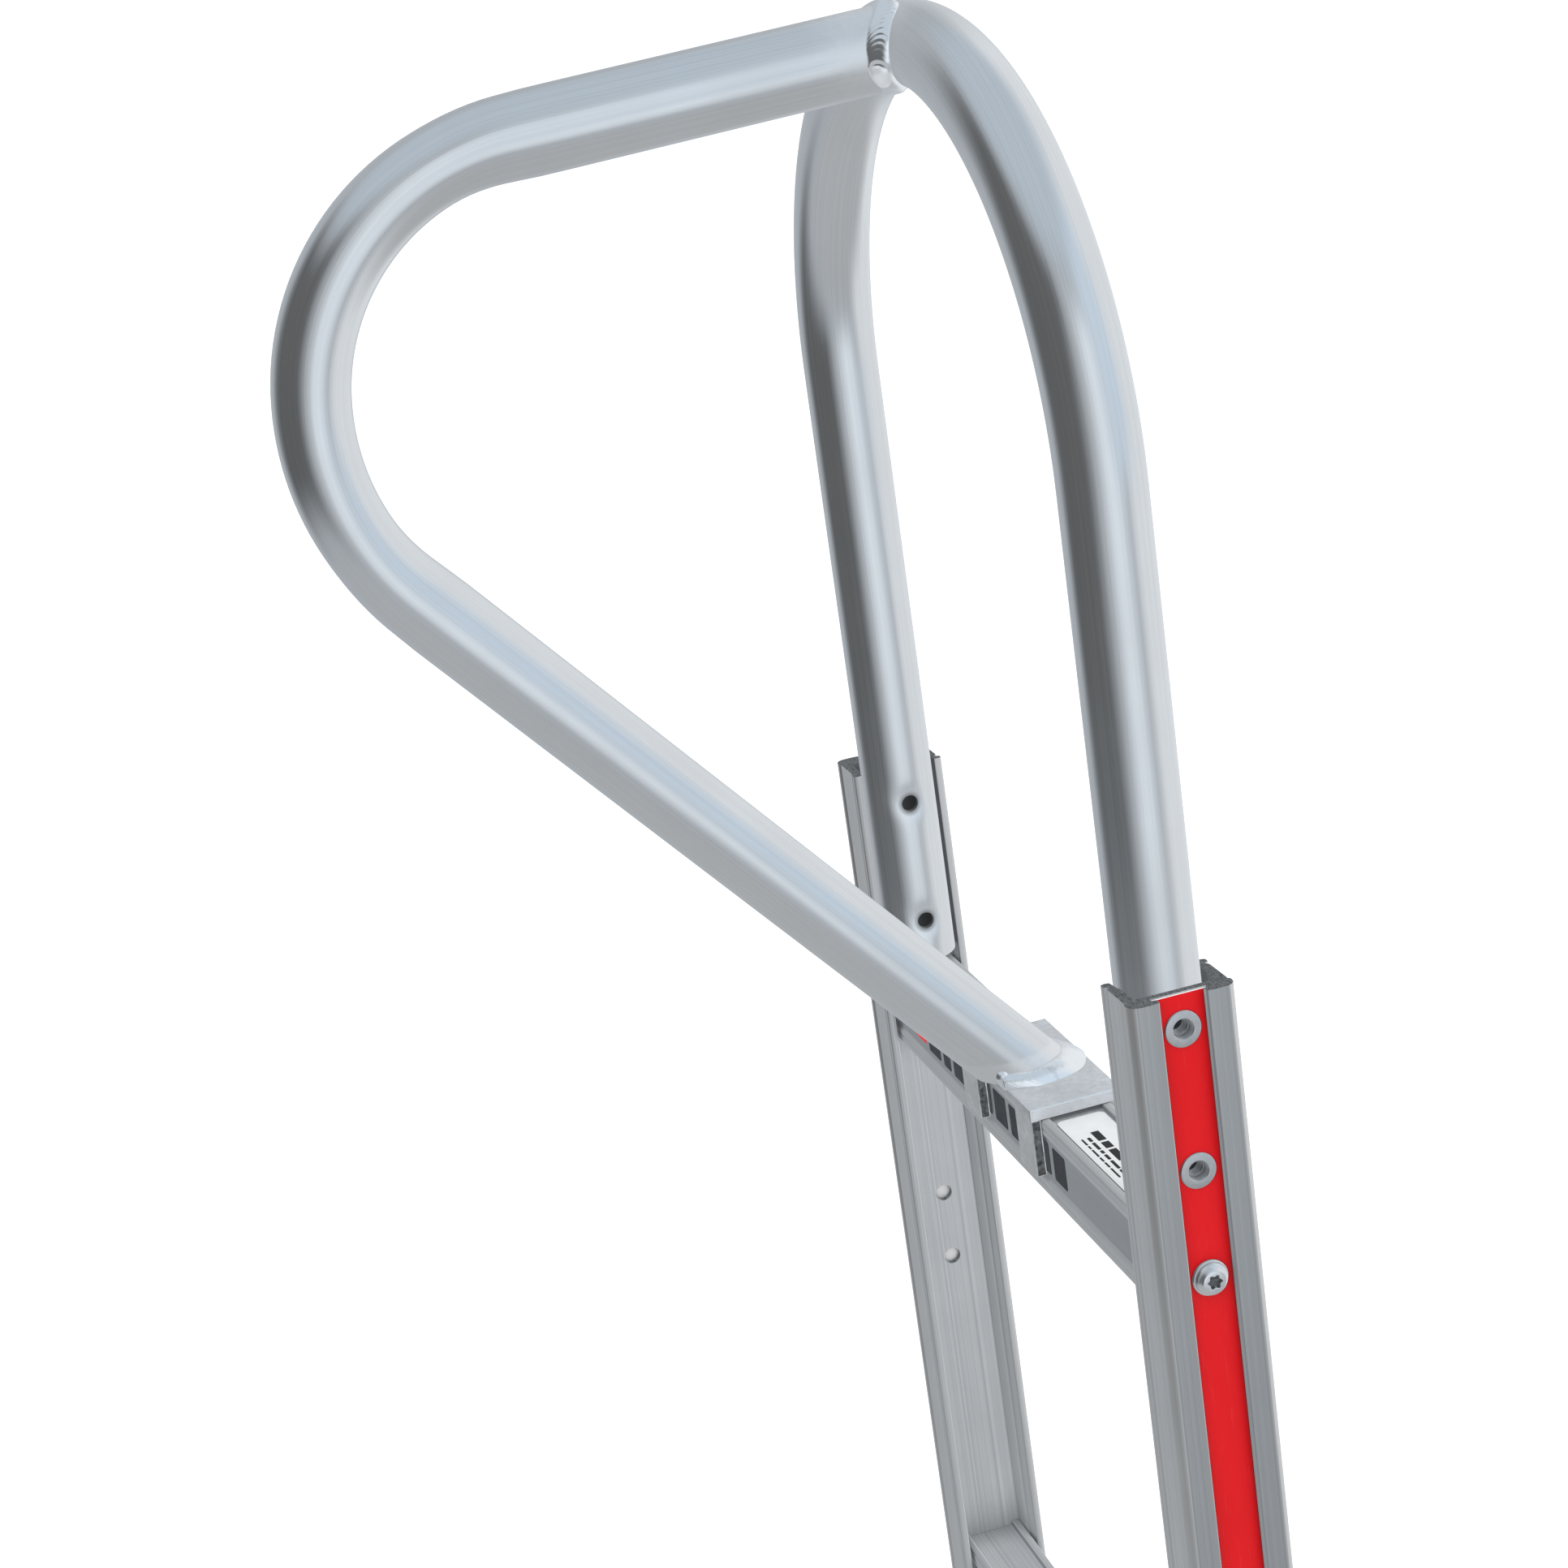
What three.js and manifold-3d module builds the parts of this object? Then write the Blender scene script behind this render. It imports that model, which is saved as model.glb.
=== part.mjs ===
// A two-wheel aluminium hand truck: two extruded side rails joined by cross-members, a loop handle
// with a bent grip brace welded to it, a nose plate, and two wheels on an axle behind the rails.
// Millimetres. +Z is up and z = 0 is the floor. X runs across the truck, the nose plate points
// to -Y, and the person who pushes the truck stands at +Y, with the right hand towards -X.

import * as THREE from "three";
import { mergeVertices } from "three/addons/utils/BufferGeometryUtils.js";
import Module from "manifold-3d";

const wasm = await Module();
wasm.setup();

// Driving dimensions ---------------------------------------------------------------------------

const INCH = 25.4;
const GAP = 0.3; // kept between pieces that touch
const SMALL_SIDES = 10; // facets round a fastener or a hole
const OVERALL_HEIGHT = 52 * INCH; // floor to the top of the loop handle

// Handle tube, for the loop and for the brace
const TUBE_R = (1.25 * INCH) / 2;
const TUBE_WALL = 2.4;
const TUBE_SIDES = 12;

// Loop handle: a half circle on two straight legs
const LOOP_R = 144;
const LOOP_STEPS = 16;
const CROWN_RISE = 324.3; // crown axis above the rail tops
const LEG_IN_RAIL = 89;
const CROWN_Z = OVERALL_HEIGHT - TUBE_R;
const RAIL_TOP = CROWN_Z - CROWN_RISE;

// Grip brace: a nearly level run back from the crown, a bend in two radii, a straight run down
const GRIP_FALL = radians(3.3);
const GRIP_RUN = 157;
const GRIP_BENDS = [
  { radius: 91, turn: radians(77.7), steps: 7 },
  { radius: 100, turn: radians(49.6), steps: 5 },
];

// Side rail: a web with an inboard channel for the handle legs and an outboard slot for the strip
const RAIL_BOTTOM = 8;
const WEB_IN = LOOP_R + TUBE_R + GAP;
const WEB_OUT = WEB_IN + 2.9;
const RAIL_TIP = 140.3; // inboard tips of the flanges
const RAIL_OUT = 168.3; // outboard faces of the lips
const FLANGE_FACE = 20; // half depth to the flat of a flange
const BEAD_FACE = 20.7; // half depth over the beads beside it
const CHANNEL_ROOT = 15.5; // half width of the inboard channel at the web
const CHANNEL_TIP = 17; // and at the flange tips
const SLOT_HALF = 11;
const SLOT_MOUTH = 9;
const LIP_BACK = 164.8;

// Coloured strip that slides down the outboard slot
const STRIP_HALF = 10.6;
const STRIP_FROM = WEB_OUT + 0.15;
const STRIP_TO = STRIP_FROM + 0.7;

// Cross-members: screwed end to end between the webs
const MEMBER_TOP = 96; // ridge of the top member below the rail tops
const MEMBER_HEIGHT = 34.3;
const MEMBER_HALF = 15.2;
const MEMBER_PITCH = 307;
const MEMBER_NAMES = ["top", "middle", "lower"];
const RIDGE = 3.6; // width of the ridges beside the top and bottom recesses
const RECESS = 2; // depth of those recesses
const SIDE_BEAD = 6; // height of the beads above and below the side recesses
const SIDE_RECESS = 1.4;
const MEMBER_WALL = 2.4;
const BOSS_R = 5.6;

// Screw with a captive washer, one for each member end
const SCREW_SHANK_R = 2.6;
const SCREW_LENGTH = 20;
const SCREW_WASHER_R = 7;
const SCREW_WASHER_THICK = 1.2;
const SCREW_HEAD_R = 6.2;
const SCREW_HEAD_HEIGHT = 5; // from the washer's seat

// Bolts through the flanges of the rails and through the rims
const BOLT_R = 3;
const BOLT_HOLE_R = BOLT_R + GAP;
const BOLT_HEAD_R = 6;
const BOLT_HEAD_HEIGHT = 4;
const NUT_R = 5.6;
const NUT_HEIGHT = 5;
const BOLT_END = 2; // thread beyond the nut
const FLANGE_BOLT_X = 150;
const FLANGE_NUT_FACE = 15.9; // from the rail's middle, in the inboard channel

// Hollow sleeves that hold the legs in the rails
const SLEEVE_DROPS = [13.8, 69.8]; // below the rail tops
const SLEEVE_FLANGE_R = 7;
const SLEEVE_R = 4.8;
const SLEEVE_BORE_R = 3.95;
const SLEEVE_LENGTH = 9;
const TOOL_HOLE_R = 3.7; // in the inboard wall of the leg

// Plain holes in the web for accessories
const ACCESSORY_DROPS = [219.5, 253];
const ACCESSORY_R = 4;

// Saddle bracket under the foot of the brace
const SADDLE_TOP = RAIL_TOP - 90.4;
const SADDLE_HALF_X = 41.1;
const SADDLE_HALF_Y = 19.9;
const SADDLE_LEG_IN = 23;
const SADDLE_LEG_DROP = 29.6;

// Weld round the head of the brace: a ring that is set back, and fatter, at its two sides
const CROWN_WELD_R = TUBE_R - 0.6;
const CROWN_WELD_Y = 8.4;
const CROWN_WELD_SIDE_Y = 8.1; // further back at the sides
const CROWN_WELD_THICK = 2.8;
const CROWN_WELD_SIDE_THICK = 2.2; // thicker at the sides
const CROWN_WELD_HALF = 6;

// Weld round the foot of the brace
const FOOT_WELD_HEIGHT = 10;
const FOOT_WELD_REACH = 10; // beyond the tube, on the saddle
const FOOT_WELD_HEAD = 2; // and at the top of the weld
const FOOT_WELD_OVERHANG = 1.5; // behind the saddle

// Label in the recess on top of the top member
const LABEL_FROM_X = 43;
const LABEL_TO_X = 132;
const LABEL_HALF = 10.2;
const LABEL_THICK = 0.5;

// Nose plate
const NOSE_WIDTH = 14 * INCH;
const NOSE_DEPTH = 7.5 * INCH;
const NOSE_THICK = 6;
const NOSE_TIP_THICK = 4;
const HEEL_HEIGHT = 76;
const HEEL_FILLET_R = 6;
const NOSE_CORNER_R = 28;
const NOSE_BOLT_Z = [26, 58];

// Wheels and axle
const WHEEL_R = 5 * INCH;
const TYRE_HALF = 1.75 * INCH;
const WHEEL_X = 221;
const HUB_HALF = 32;
const WHEEL_SIDES = 20;
const AXLE_R = (0.625 * INCH) / 2;
const AXLE_HALF = 268;
const AXLE_Y = 115;
const BEARING_R = (1.375 * INCH) / 2;
const BEARING_WIDTH = 11;
const RIM_WALL = 3.4;
const RIM_BARREL_R = 50.7;
const RIM_BARREL_HALF = 34.6;
const RIM_FLANGE_R = 58;
const RIM_HALF = 38;
const RIM_BOLT_CIRCLE_R = 34;
const RIM_BOLTS = 3;
const VALVE_X = 18; // foot of the valve, outwards from the wheel's middle
const VALVE_FOOT_R = 43.4; // and from the axle
const VALVE_LEAN = radians(38);
const VALVE_LENGTH = 24;

// Washers and split pins that hold a wheel on the axle
const WASHER_R = 14;
const WASHER_THICK = 2;
const COTTER_X = WHEEL_X + HUB_HALF + 8;
const COTTER_R = 1.6;
const COTTER_HOLE_R = 2;
const COTTER_EYE_R = 3.4;
const COTTER_TAIL = 7;

// Axle brackets behind the rails
const BRACKET_FROM_Z = 58;
const BRACKET_TO_Z = 200;
const BRACKET_THICK = 6;
const BRACKET_BOLT_Z = [78, 180];
const RIB_THICK = 8;
const BOSS_OUTER_R = 19;
const BOSS_LENGTH = 18; // inboard from the rail's outer face

// Looks ----------------------------------------------------------------------------------------

const MILL_TUBE = { color: 0xc3c9cf, roughness: 0.32, metalness: 1 };
const EXTRUSION = { color: 0xb9bec3, roughness: 0.38, metalness: 1 };
const CAST = { color: 0xa6a8a6, roughness: 0.65, metalness: 0.9 };
const WELD = { color: 0xe2e4e6, roughness: 0.18, metalness: 1 };
const ZINC = { color: 0xcfd2d4, roughness: 0.25, metalness: 1 };
const STEEL = { color: 0x8e9296, roughness: 0.4, metalness: 1 };
const RED = { color: 0xde1e26, roughness: 0.35, metalness: 0 };
const WHITE = { color: 0xf2f2ee, roughness: 0.4, metalness: 0 };
const RUBBER = { color: 0x1d1d1e, roughness: 0.85, metalness: 0 };

// Geometry helpers -----------------------------------------------------------------------------

function radians(degrees) {
  return (degrees * Math.PI) / 180;
}

// A closed geometry as a manifold-3d solid.
function solid(geometry) {
  const bare = geometry.clone();
  bare.deleteAttribute("normal");
  bare.deleteAttribute("uv");
  const merged = mergeVertices(bare, 1e-4);
  const vertProperties = merged.attributes.position.array;
  const triVerts = new Uint32Array(merged.index.array);
  return new wasm.Manifold(new wasm.Mesh({ numProp: 3, vertProperties, triVerts }));
}

// A manifold-3d solid as a geometry.
function geometryOf(body) {
  const mesh = body.getMesh();
  const geometry = new THREE.BufferGeometry();
  geometry.setAttribute("position", new THREE.BufferAttribute(mesh.vertProperties, 3));
  geometry.setIndex(new THREE.BufferAttribute(mesh.triVerts, 1));
  geometry.computeVertexNormals();
  return geometry;
}

// Adds one named piece to a group.
function piece(group, name, body, look) {
  const mesh = new THREE.Mesh(geometryOf(body), new THREE.MeshStandardMaterial(look));
  mesh.name = name;
  group.add(mesh);
  return mesh;
}

// Turns a geometry that was made along +Z to run along another axis.
const TURN = {
  x: (geometry) => geometry.rotateY(Math.PI / 2),
  y: (geometry) => geometry.rotateX(-Math.PI / 2),
  z: (geometry) => geometry,
};

// A round or many-sided bar along an axis through the point (x, y, z), between two places on it.
function bar(axis, [x, y, z], radius, from, to, sides = SMALL_SIDES) {
  const geometry = new THREE.CylinderGeometry(radius, radius, to - from, sides);
  geometry.rotateX(Math.PI / 2);
  geometry.translate(0, 0, (from + to) / 2);
  TURN[axis](geometry);
  return solid(geometry.translate(x, y, z));
}

// Two places on an axis, lower first.
function ordered(a, b) {
  return [Math.min(a, b), Math.max(a, b)];
}

// A box between two corners.
function block([x0, y0, z0], [x1, y1, z1]) {
  const geometry = new THREE.BoxGeometry(x1 - x0, y1 - y0, z1 - z0);
  return solid(geometry.translate((x0 + x1) / 2, (y0 + y1) / 2, (z0 + z1) / 2));
}

// A shape drawn in (y, z) and extruded across the truck.
function acrossX(shape, from, to, curveSegments = 6) {
  const options = { depth: to - from, bevelEnabled: false, curveSegments };
  const geometry = new THREE.ExtrudeGeometry(shape, options);
  const basis = new THREE.Matrix4().makeBasis(
    new THREE.Vector3(0, 1, 0),
    new THREE.Vector3(0, 0, 1),
    new THREE.Vector3(1, 0, 0),
  );
  return solid(geometry.applyMatrix4(basis).translate(from, 0, 0));
}

// A closed profile of [radius, height] turned about +Z, then turned to run along an axis. Its
// faces point outwards where the profile runs anticlockwise.
function turned(axis, profile, sides) {
  const points = profile.map(([r, h]) => new THREE.Vector2(r, h));
  if (THREE.ShapeUtils.isClockWise(points)) points.reverse();
  points.push(points[0]);
  const geometry = new THREE.LatheGeometry(points, sides);
  geometry.rotateX(Math.PI / 2);
  return solid(TURN[axis](geometry));
}

// A centre line through stations. They stand at the ends of each straight stretch and evenly
// round each bend, so that a straight stretch costs one step.
class CentreLine extends THREE.Curve {
  constructor(stations) {
    super();
    this.stations = stations;
  }

  getPoint(t, target = new THREE.Vector3()) {
    const spans = this.stations.length - 1;
    const i = Math.min(Math.floor(t * spans), spans - 1);
    return target.lerpVectors(this.stations[i], this.stations[i + 1], t * spans - i);
  }

  getUtoTmapping(u) {
    return u;
  }
}

// The handle tube along a list of stations: hollow, or solid and a little fatter to cut with.
function tube(stations, { hollow = true, grow = 0 } = {}) {
  const shape = new THREE.Shape();
  shape.absarc(0, 0, TUBE_R + grow, 0, 2 * Math.PI);
  if (hollow) {
    const bore = new THREE.Path();
    bore.absarc(0, 0, TUBE_R - TUBE_WALL, 0, 2 * Math.PI, true);
    shape.holes.push(bore);
  }
  const options = {
    steps: stations.length - 1,
    extrudePath: new CentreLine(stations),
    curveSegments: TUBE_SIDES / 2,
  };
  return solid(new THREE.ExtrudeGeometry(shape, options));
}

// Stations of the two centre lines ---------------------------------------------------------------

function loopStations() {
  const foot = RAIL_TOP - LEG_IN_RAIL;
  const spring = CROWN_Z - LOOP_R;
  const stations = [new THREE.Vector3(LOOP_R, 0, foot)];
  for (let i = 0; i <= LOOP_STEPS; i++) {
    const angle = (Math.PI * i) / LOOP_STEPS;
    const x = LOOP_R * Math.cos(angle);
    const z = spring + LOOP_R * Math.sin(angle);
    stations.push(new THREE.Vector3(x, 0, z));
  }
  stations.push(new THREE.Vector3(-LOOP_R, 0, foot));
  return stations;
}

// The brace lies in the plane x = 0. `heading` is its direction below the horizontal.
function braceStations() {
  const stations = [new THREE.Vector3(0, 0, CROWN_Z)];
  let y = GRIP_RUN * Math.cos(GRIP_FALL);
  let z = CROWN_Z - GRIP_RUN * Math.sin(GRIP_FALL);
  let heading = GRIP_FALL;
  stations.push(new THREE.Vector3(0, y, z));
  for (const { radius, turn, steps } of GRIP_BENDS) {
    const chord = 2 * radius * Math.sin(turn / steps / 2);
    for (let i = 0; i < steps; i++) {
      heading += turn / steps / 2;
      y += chord * Math.cos(heading);
      z -= chord * Math.sin(heading);
      heading += turn / steps / 2;
      stations.push(new THREE.Vector3(0, y, z));
    }
  }
  const toSaddle = (z - SADDLE_TOP) / Math.sin(heading);
  const length = toSaddle + 2 * TUBE_R;
  const end = new THREE.Vector3(0, y + length * Math.cos(heading), z - length * Math.sin(heading));
  stations.push(end);
  return { stations, heading, footY: y + toSaddle * Math.cos(heading) };
}

// Handle -----------------------------------------------------------------------------------------

// Leg holes: the sleeve's hole in the outboard wall and the smaller tool hole in the inboard wall.
function loopHandle() {
  let body = tube(loopStations());
  for (const sign of [-1, 1]) {
    for (const drop of SLEEVE_DROPS) {
      const axis = [0, 0, RAIL_TOP - drop];
      const outboard = ordered(sign * LOOP_R, sign * (LOOP_R + 2 * TUBE_R));
      const inboard = ordered(sign * LOOP_R, sign * (LOOP_R - 2 * TUBE_R));
      body = body.subtract(bar("x", axis, SLEEVE_R + GAP, ...outboard));
      body = body.subtract(bar("x", axis, TOOL_HOLE_R, ...inboard));
    }
  }
  return body;
}

function gripBrace(line) {
  const loop = tube(loopStations(), { hollow: false, grow: GAP });
  const reach = 200;
  const belowSaddle = block([-reach, -reach, 0], [reach, reach, SADDLE_TOP + GAP]);
  return tube(line.stations).subtract(loop).subtract(belowSaddle);
}

// Bead round the joint of the brace and the crown: a ring that is drawn back at its sides, where
// the brace meets the flank of the crown tube, and is fatter there.
function crownWeld(line) {
  const ring = new THREE.TorusGeometry(CROWN_WELD_R, 1, 6, 20);
  const position = ring.attributes.position;
  for (let i = 0; i < position.count; i++) {
    const px = position.getX(i);
    const py = position.getY(i);
    const around = Math.atan2(py, px);
    const side = Math.cos(around) ** 2;
    const thick = CROWN_WELD_THICK + CROWN_WELD_SIDE_THICK * side;
    const radius = CROWN_WELD_R + (Math.hypot(px, py) - CROWN_WELD_R) * thick;
    const y = CROWN_WELD_Y + CROWN_WELD_SIDE_Y * side + position.getZ(i) * CROWN_WELD_HALF;
    position.setXYZ(i, radius * Math.cos(around), y, radius * Math.sin(around));
  }
  ring.translate(0, 0, CROWN_Z - CROWN_WELD_Y * Math.tan(GRIP_FALL));
  // Swapping two coordinates turned the ring inside out.
  const index = ring.index.array;
  for (let i = 0; i < index.length; i += 3) {
    [index[i], index[i + 1]] = [index[i + 1], index[i]];
  }
  const loop = tube(loopStations(), { hollow: false, grow: GAP });
  const brace = tube(line.stations, { hollow: false, grow: GAP });
  return solid(ring).subtract(loop).subtract(brace);
}

// Fillet round the foot of the brace: a low cone that leans with the tube, cut by the tube.
function footWeld(line) {
  const headR = TUBE_R + FOOT_WELD_HEAD;
  const footR = TUBE_R + FOOT_WELD_REACH;
  const rearLimit = SADDLE_HALF_Y + FOOT_WELD_OVERHANG;
  const cone = new THREE.CylinderGeometry(headR, footR, FOOT_WELD_HEIGHT, 20);
  cone.rotateX(Math.PI / 2);
  const lean = -1 / Math.tan(line.heading);
  cone.translate(0, 0, FOOT_WELD_HEIGHT / 2);
  cone.applyMatrix4(new THREE.Matrix4().makeShear(0, 0, 0, 0, 0, lean));
  cone.translate(0, line.footY, SADDLE_TOP + GAP);
  const behind = block([-60, rearLimit, 0], [60, 90, OVERALL_HEIGHT]);
  const brace = tube(line.stations, { hollow: false, grow: GAP });
  return solid(cone).subtract(brace).subtract(behind);
}

// A plate over the top member with two legs down each of its sides.
function saddle() {
  const plateBottom = RAIL_TOP - MEMBER_TOP + GAP;
  const legIn = MEMBER_HALF + GAP;
  const bottom = SADDLE_TOP - SADDLE_LEG_DROP;
  const low = [-SADDLE_HALF_X, -SADDLE_HALF_Y, plateBottom];
  const high = [SADDLE_HALF_X, SADDLE_HALF_Y, SADDLE_TOP];
  let body = block(low, high);
  for (const sx of [-1, 1]) {
    for (const sy of [-1, 1]) {
      const xs = ordered(sx * SADDLE_LEG_IN, sx * SADDLE_HALF_X);
      const ys = ordered(sy * legIn, sy * SADDLE_HALF_Y);
      body = body.add(block([xs[0], ys[0], bottom], [xs[1], ys[1], SADDLE_TOP]));
    }
  }
  return body;
}

// A flanged hollow sleeve along +X, with its flange on the strip and its barrel inside the leg.
function sleeve(z) {
  const flangeFrom = STRIP_TO + 0.1;
  const flangeTo = flangeFrom + 1.1;
  const end = flangeFrom - SLEEVE_LENGTH;
  const profile = [
    [SLEEVE_BORE_R, end],
    [SLEEVE_BORE_R, flangeTo],
    [SLEEVE_FLANGE_R - 0.4, flangeTo],
    [SLEEVE_FLANGE_R, flangeTo - 0.4],
    [SLEEVE_FLANGE_R, flangeFrom],
    [SLEEVE_R, flangeFrom],
    [SLEEVE_R, end],
  ];
  return turned("x", profile, SMALL_SIDES + 2).translate([0, 0, z]);
}

// Rails, strips and cross-members -------------------------------------------------------------------

// The rail's section. Half of it is drawn, from the outboard slot round to the inboard channel,
// as [distance from the truck's middle, distance from the rail's middle], and mirrored.
function railShape() {
  const half = [
    [WEB_OUT, SLOT_HALF],
    [LIP_BACK, SLOT_HALF],
    [LIP_BACK, SLOT_MOUTH],
    [RAIL_OUT - 0.9, SLOT_MOUTH],
    [RAIL_OUT, SLOT_MOUTH + 1.6],
    [RAIL_OUT - 0.2, 16.3],
    [RAIL_OUT - 1.6, 19.1],
    [RAIL_OUT - 4.2, BEAD_FACE],
    [162.2, BEAD_FACE],
    [161.8, FLANGE_FACE - 0.5],
    [161, FLANGE_FACE],
    [146.2, FLANGE_FACE],
    [145.4, FLANGE_FACE - 0.6],
    [143.9, FLANGE_FACE - 0.6],
    [143.4, BEAD_FACE - 0.2],
    [142, BEAD_FACE],
    [RAIL_TIP + 0.3, BEAD_FACE - 0.7],
    [RAIL_TIP, 18.6],
    [RAIL_TIP + 0.6, CHANNEL_TIP],
    [WEB_IN, CHANNEL_ROOT],
  ];
  const mirrored = half.map(([x, y]) => [x, -y]).reverse();
  const points = [...half, ...mirrored].map(([x, y]) => new THREE.Vector2(x, y));
  return new THREE.Shape(points);
}

function memberMiddle(index) {
  return RAIL_TOP - MEMBER_TOP - MEMBER_HEIGHT / 2 - index * MEMBER_PITCH;
}

function sideRail() {
  const length = RAIL_TOP - RAIL_BOTTOM;
  const rail = new THREE.ExtrudeGeometry(railShape(), { depth: length, bevelEnabled: false });
  let body = solid(rail.translate(0, 0, RAIL_BOTTOM));
  const throughWeb = [WEB_IN - 5, RAIL_OUT];
  const throughRear = [CHANNEL_ROOT - 5, BEAD_FACE + 5];
  const throughFront = [-BEAD_FACE - 5, 5 - CHANNEL_ROOT];
  for (const drop of SLEEVE_DROPS) {
    body = body.subtract(bar("x", [0, 0, RAIL_TOP - drop], SLEEVE_R + GAP, ...throughWeb));
  }
  for (const drop of ACCESSORY_DROPS) {
    body = body.subtract(bar("x", [0, 0, RAIL_TOP - drop], ACCESSORY_R, ...throughWeb));
  }
  for (const i of MEMBER_NAMES.keys()) {
    body = body.subtract(bar("x", [0, 0, memberMiddle(i)], SCREW_SHANK_R + GAP, ...throughWeb));
  }
  for (const z of NOSE_BOLT_Z) {
    body = body.subtract(bar("y", [FLANGE_BOLT_X, 0, z], BOLT_HOLE_R, ...throughFront));
  }
  for (const z of BRACKET_BOLT_Z) {
    body = body.subtract(bar("y", [FLANGE_BOLT_X, 0, z], BOLT_HOLE_R, ...throughRear));
  }
  return body;
}

function railStrip() {
  let body = block([STRIP_FROM, -STRIP_HALF, RAIL_BOTTOM + 2], [STRIP_TO, STRIP_HALF, RAIL_TOP - 0.5]);
  const through = [STRIP_FROM - 1, STRIP_TO + 1];
  for (const drop of SLEEVE_DROPS) {
    body = body.subtract(bar("x", [0, 0, RAIL_TOP - drop], SLEEVE_R + GAP, ...through));
  }
  for (const i of MEMBER_NAMES.keys()) {
    body = body.subtract(bar("x", [0, 0, memberMiddle(i)], SCREW_SHANK_R + GAP, ...through));
  }
  return body;
}

// The member's outline: a box with a shallow recess in each of its four faces.
function memberOutline() {
  const h = MEMBER_HEIGHT / 2;
  const w = MEMBER_HALF;
  const quarter = [
    [w - SIDE_RECESS, h - SIDE_BEAD - SIDE_RECESS],
    [w, h - SIDE_BEAD],
    [w, h - 0.8],
    [w - 0.8, h],
    [w - RIDGE, h],
    [w - RIDGE - 0.6, h - RECESS],
  ];
  const mirrorY = (points) => points.map(([y, z]) => [-y, z]).reverse();
  const mirrorZ = (points) => points.map(([y, z]) => [y, -z]).reverse();
  const upper = [...quarter, ...mirrorY(quarter)];
  return [...upper, ...mirrorZ(upper)].map(([y, z]) => new THREE.Vector2(y, z));
}

// One of the two hollows inside the member, above the screw boss or, turned over, below it.
function memberHollow(sign) {
  const w = MEMBER_HALF - SIDE_RECESS - MEMBER_WALL;
  const top = MEMBER_HEIGHT / 2 - RECESS - MEMBER_WALL;
  const rib = MEMBER_WALL / 2;
  const start = Math.asin(rib / BOSS_R);
  const points = [new THREE.Vector2(w, rib)];
  for (let i = 0; i <= 6; i++) {
    const angle = start + ((Math.PI - 2 * start) * i) / 6;
    points.push(new THREE.Vector2(BOSS_R * Math.cos(angle), BOSS_R * Math.sin(angle)));
  }
  points.push(new THREE.Vector2(-w, rib), new THREE.Vector2(-w, top), new THREE.Vector2(w, top));
  points.forEach((point) => (point.y *= sign));
  return new THREE.Path(points);
}

function crossMember(index) {
  const shape = new THREE.Shape(memberOutline());
  const screwHole = new THREE.Path();
  screwHole.absarc(0, 0, SCREW_SHANK_R + GAP, 0, 2 * Math.PI, true);
  shape.holes.push(memberHollow(1), memberHollow(-1), screwHole);
  const end = WEB_IN - GAP;
  return acrossX(shape, -end, end, 5).translate([0, 0, memberMiddle(index)]);
}

// Pan head on a washer, with its shank through the strip and web into the member's boss.
function memberScrew(index) {
  const seat = STRIP_TO + 0.1;
  const head = seat + SCREW_HEAD_HEIGHT;
  const profile = [
    [0, seat - SCREW_LENGTH],
    [SCREW_SHANK_R, seat - SCREW_LENGTH],
    [SCREW_SHANK_R, seat],
    [SCREW_WASHER_R, seat],
    [SCREW_WASHER_R, seat + SCREW_WASHER_THICK],
    [SCREW_HEAD_R, seat + SCREW_WASHER_THICK + 0.2],
    [SCREW_HEAD_R - 0.2, head - 1.2],
    [SCREW_HEAD_R - 2.4, head],
    [0, head],
  ];
  return turned("x", profile, SMALL_SIDES).translate([0, 0, memberMiddle(index)]);
}

function capacityLabel() {
  const bottom = RAIL_TOP - MEMBER_TOP - RECESS + 0.1;
  return block([-LABEL_TO_X, -LABEL_HALF, bottom], [-LABEL_FROM_X, LABEL_HALF, bottom + LABEL_THICK]);
}

// Nose plate -----------------------------------------------------------------------------------------

const HEEL_BACK = -(BEAD_FACE + GAP);
const NOSE_FRONT = HEEL_BACK - NOSE_DEPTH;

// An L in section, with the heel's foot rounded inside, the blade thinned towards its front edge
// and the blade's front corners rounded.
function nosePlate() {
  const shape = new THREE.Shape();
  const heelFront = HEEL_BACK - NOSE_THICK;
  const filletY = heelFront - HEEL_FILLET_R;
  const filletZ = NOSE_THICK + HEEL_FILLET_R;
  shape.moveTo(HEEL_BACK, 2);
  shape.lineTo(HEEL_BACK, HEEL_HEIGHT);
  shape.lineTo(heelFront, HEEL_HEIGHT);
  shape.lineTo(heelFront, filletZ);
  shape.absarc(filletY, filletZ, HEEL_FILLET_R, 0, -Math.PI / 2, true);
  shape.lineTo(NOSE_FRONT, NOSE_TIP_THICK);
  shape.lineTo(NOSE_FRONT, 1);
  shape.lineTo(NOSE_FRONT + 1, 0);
  shape.lineTo(HEEL_BACK - 2, 0);
  let body = acrossX(shape, -NOSE_WIDTH / 2, NOSE_WIDTH / 2, 4);
  body = body.intersect(noseOutline());
  for (const sign of [-1, 1]) {
    for (const z of NOSE_BOLT_Z) {
      const axis = [sign * FLANGE_BOLT_X, 0, z];
      body = body.subtract(bar("y", axis, BOLT_HOLE_R, heelFront - 5, HEEL_BACK + 5));
    }
  }
  return body;
}

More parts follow.
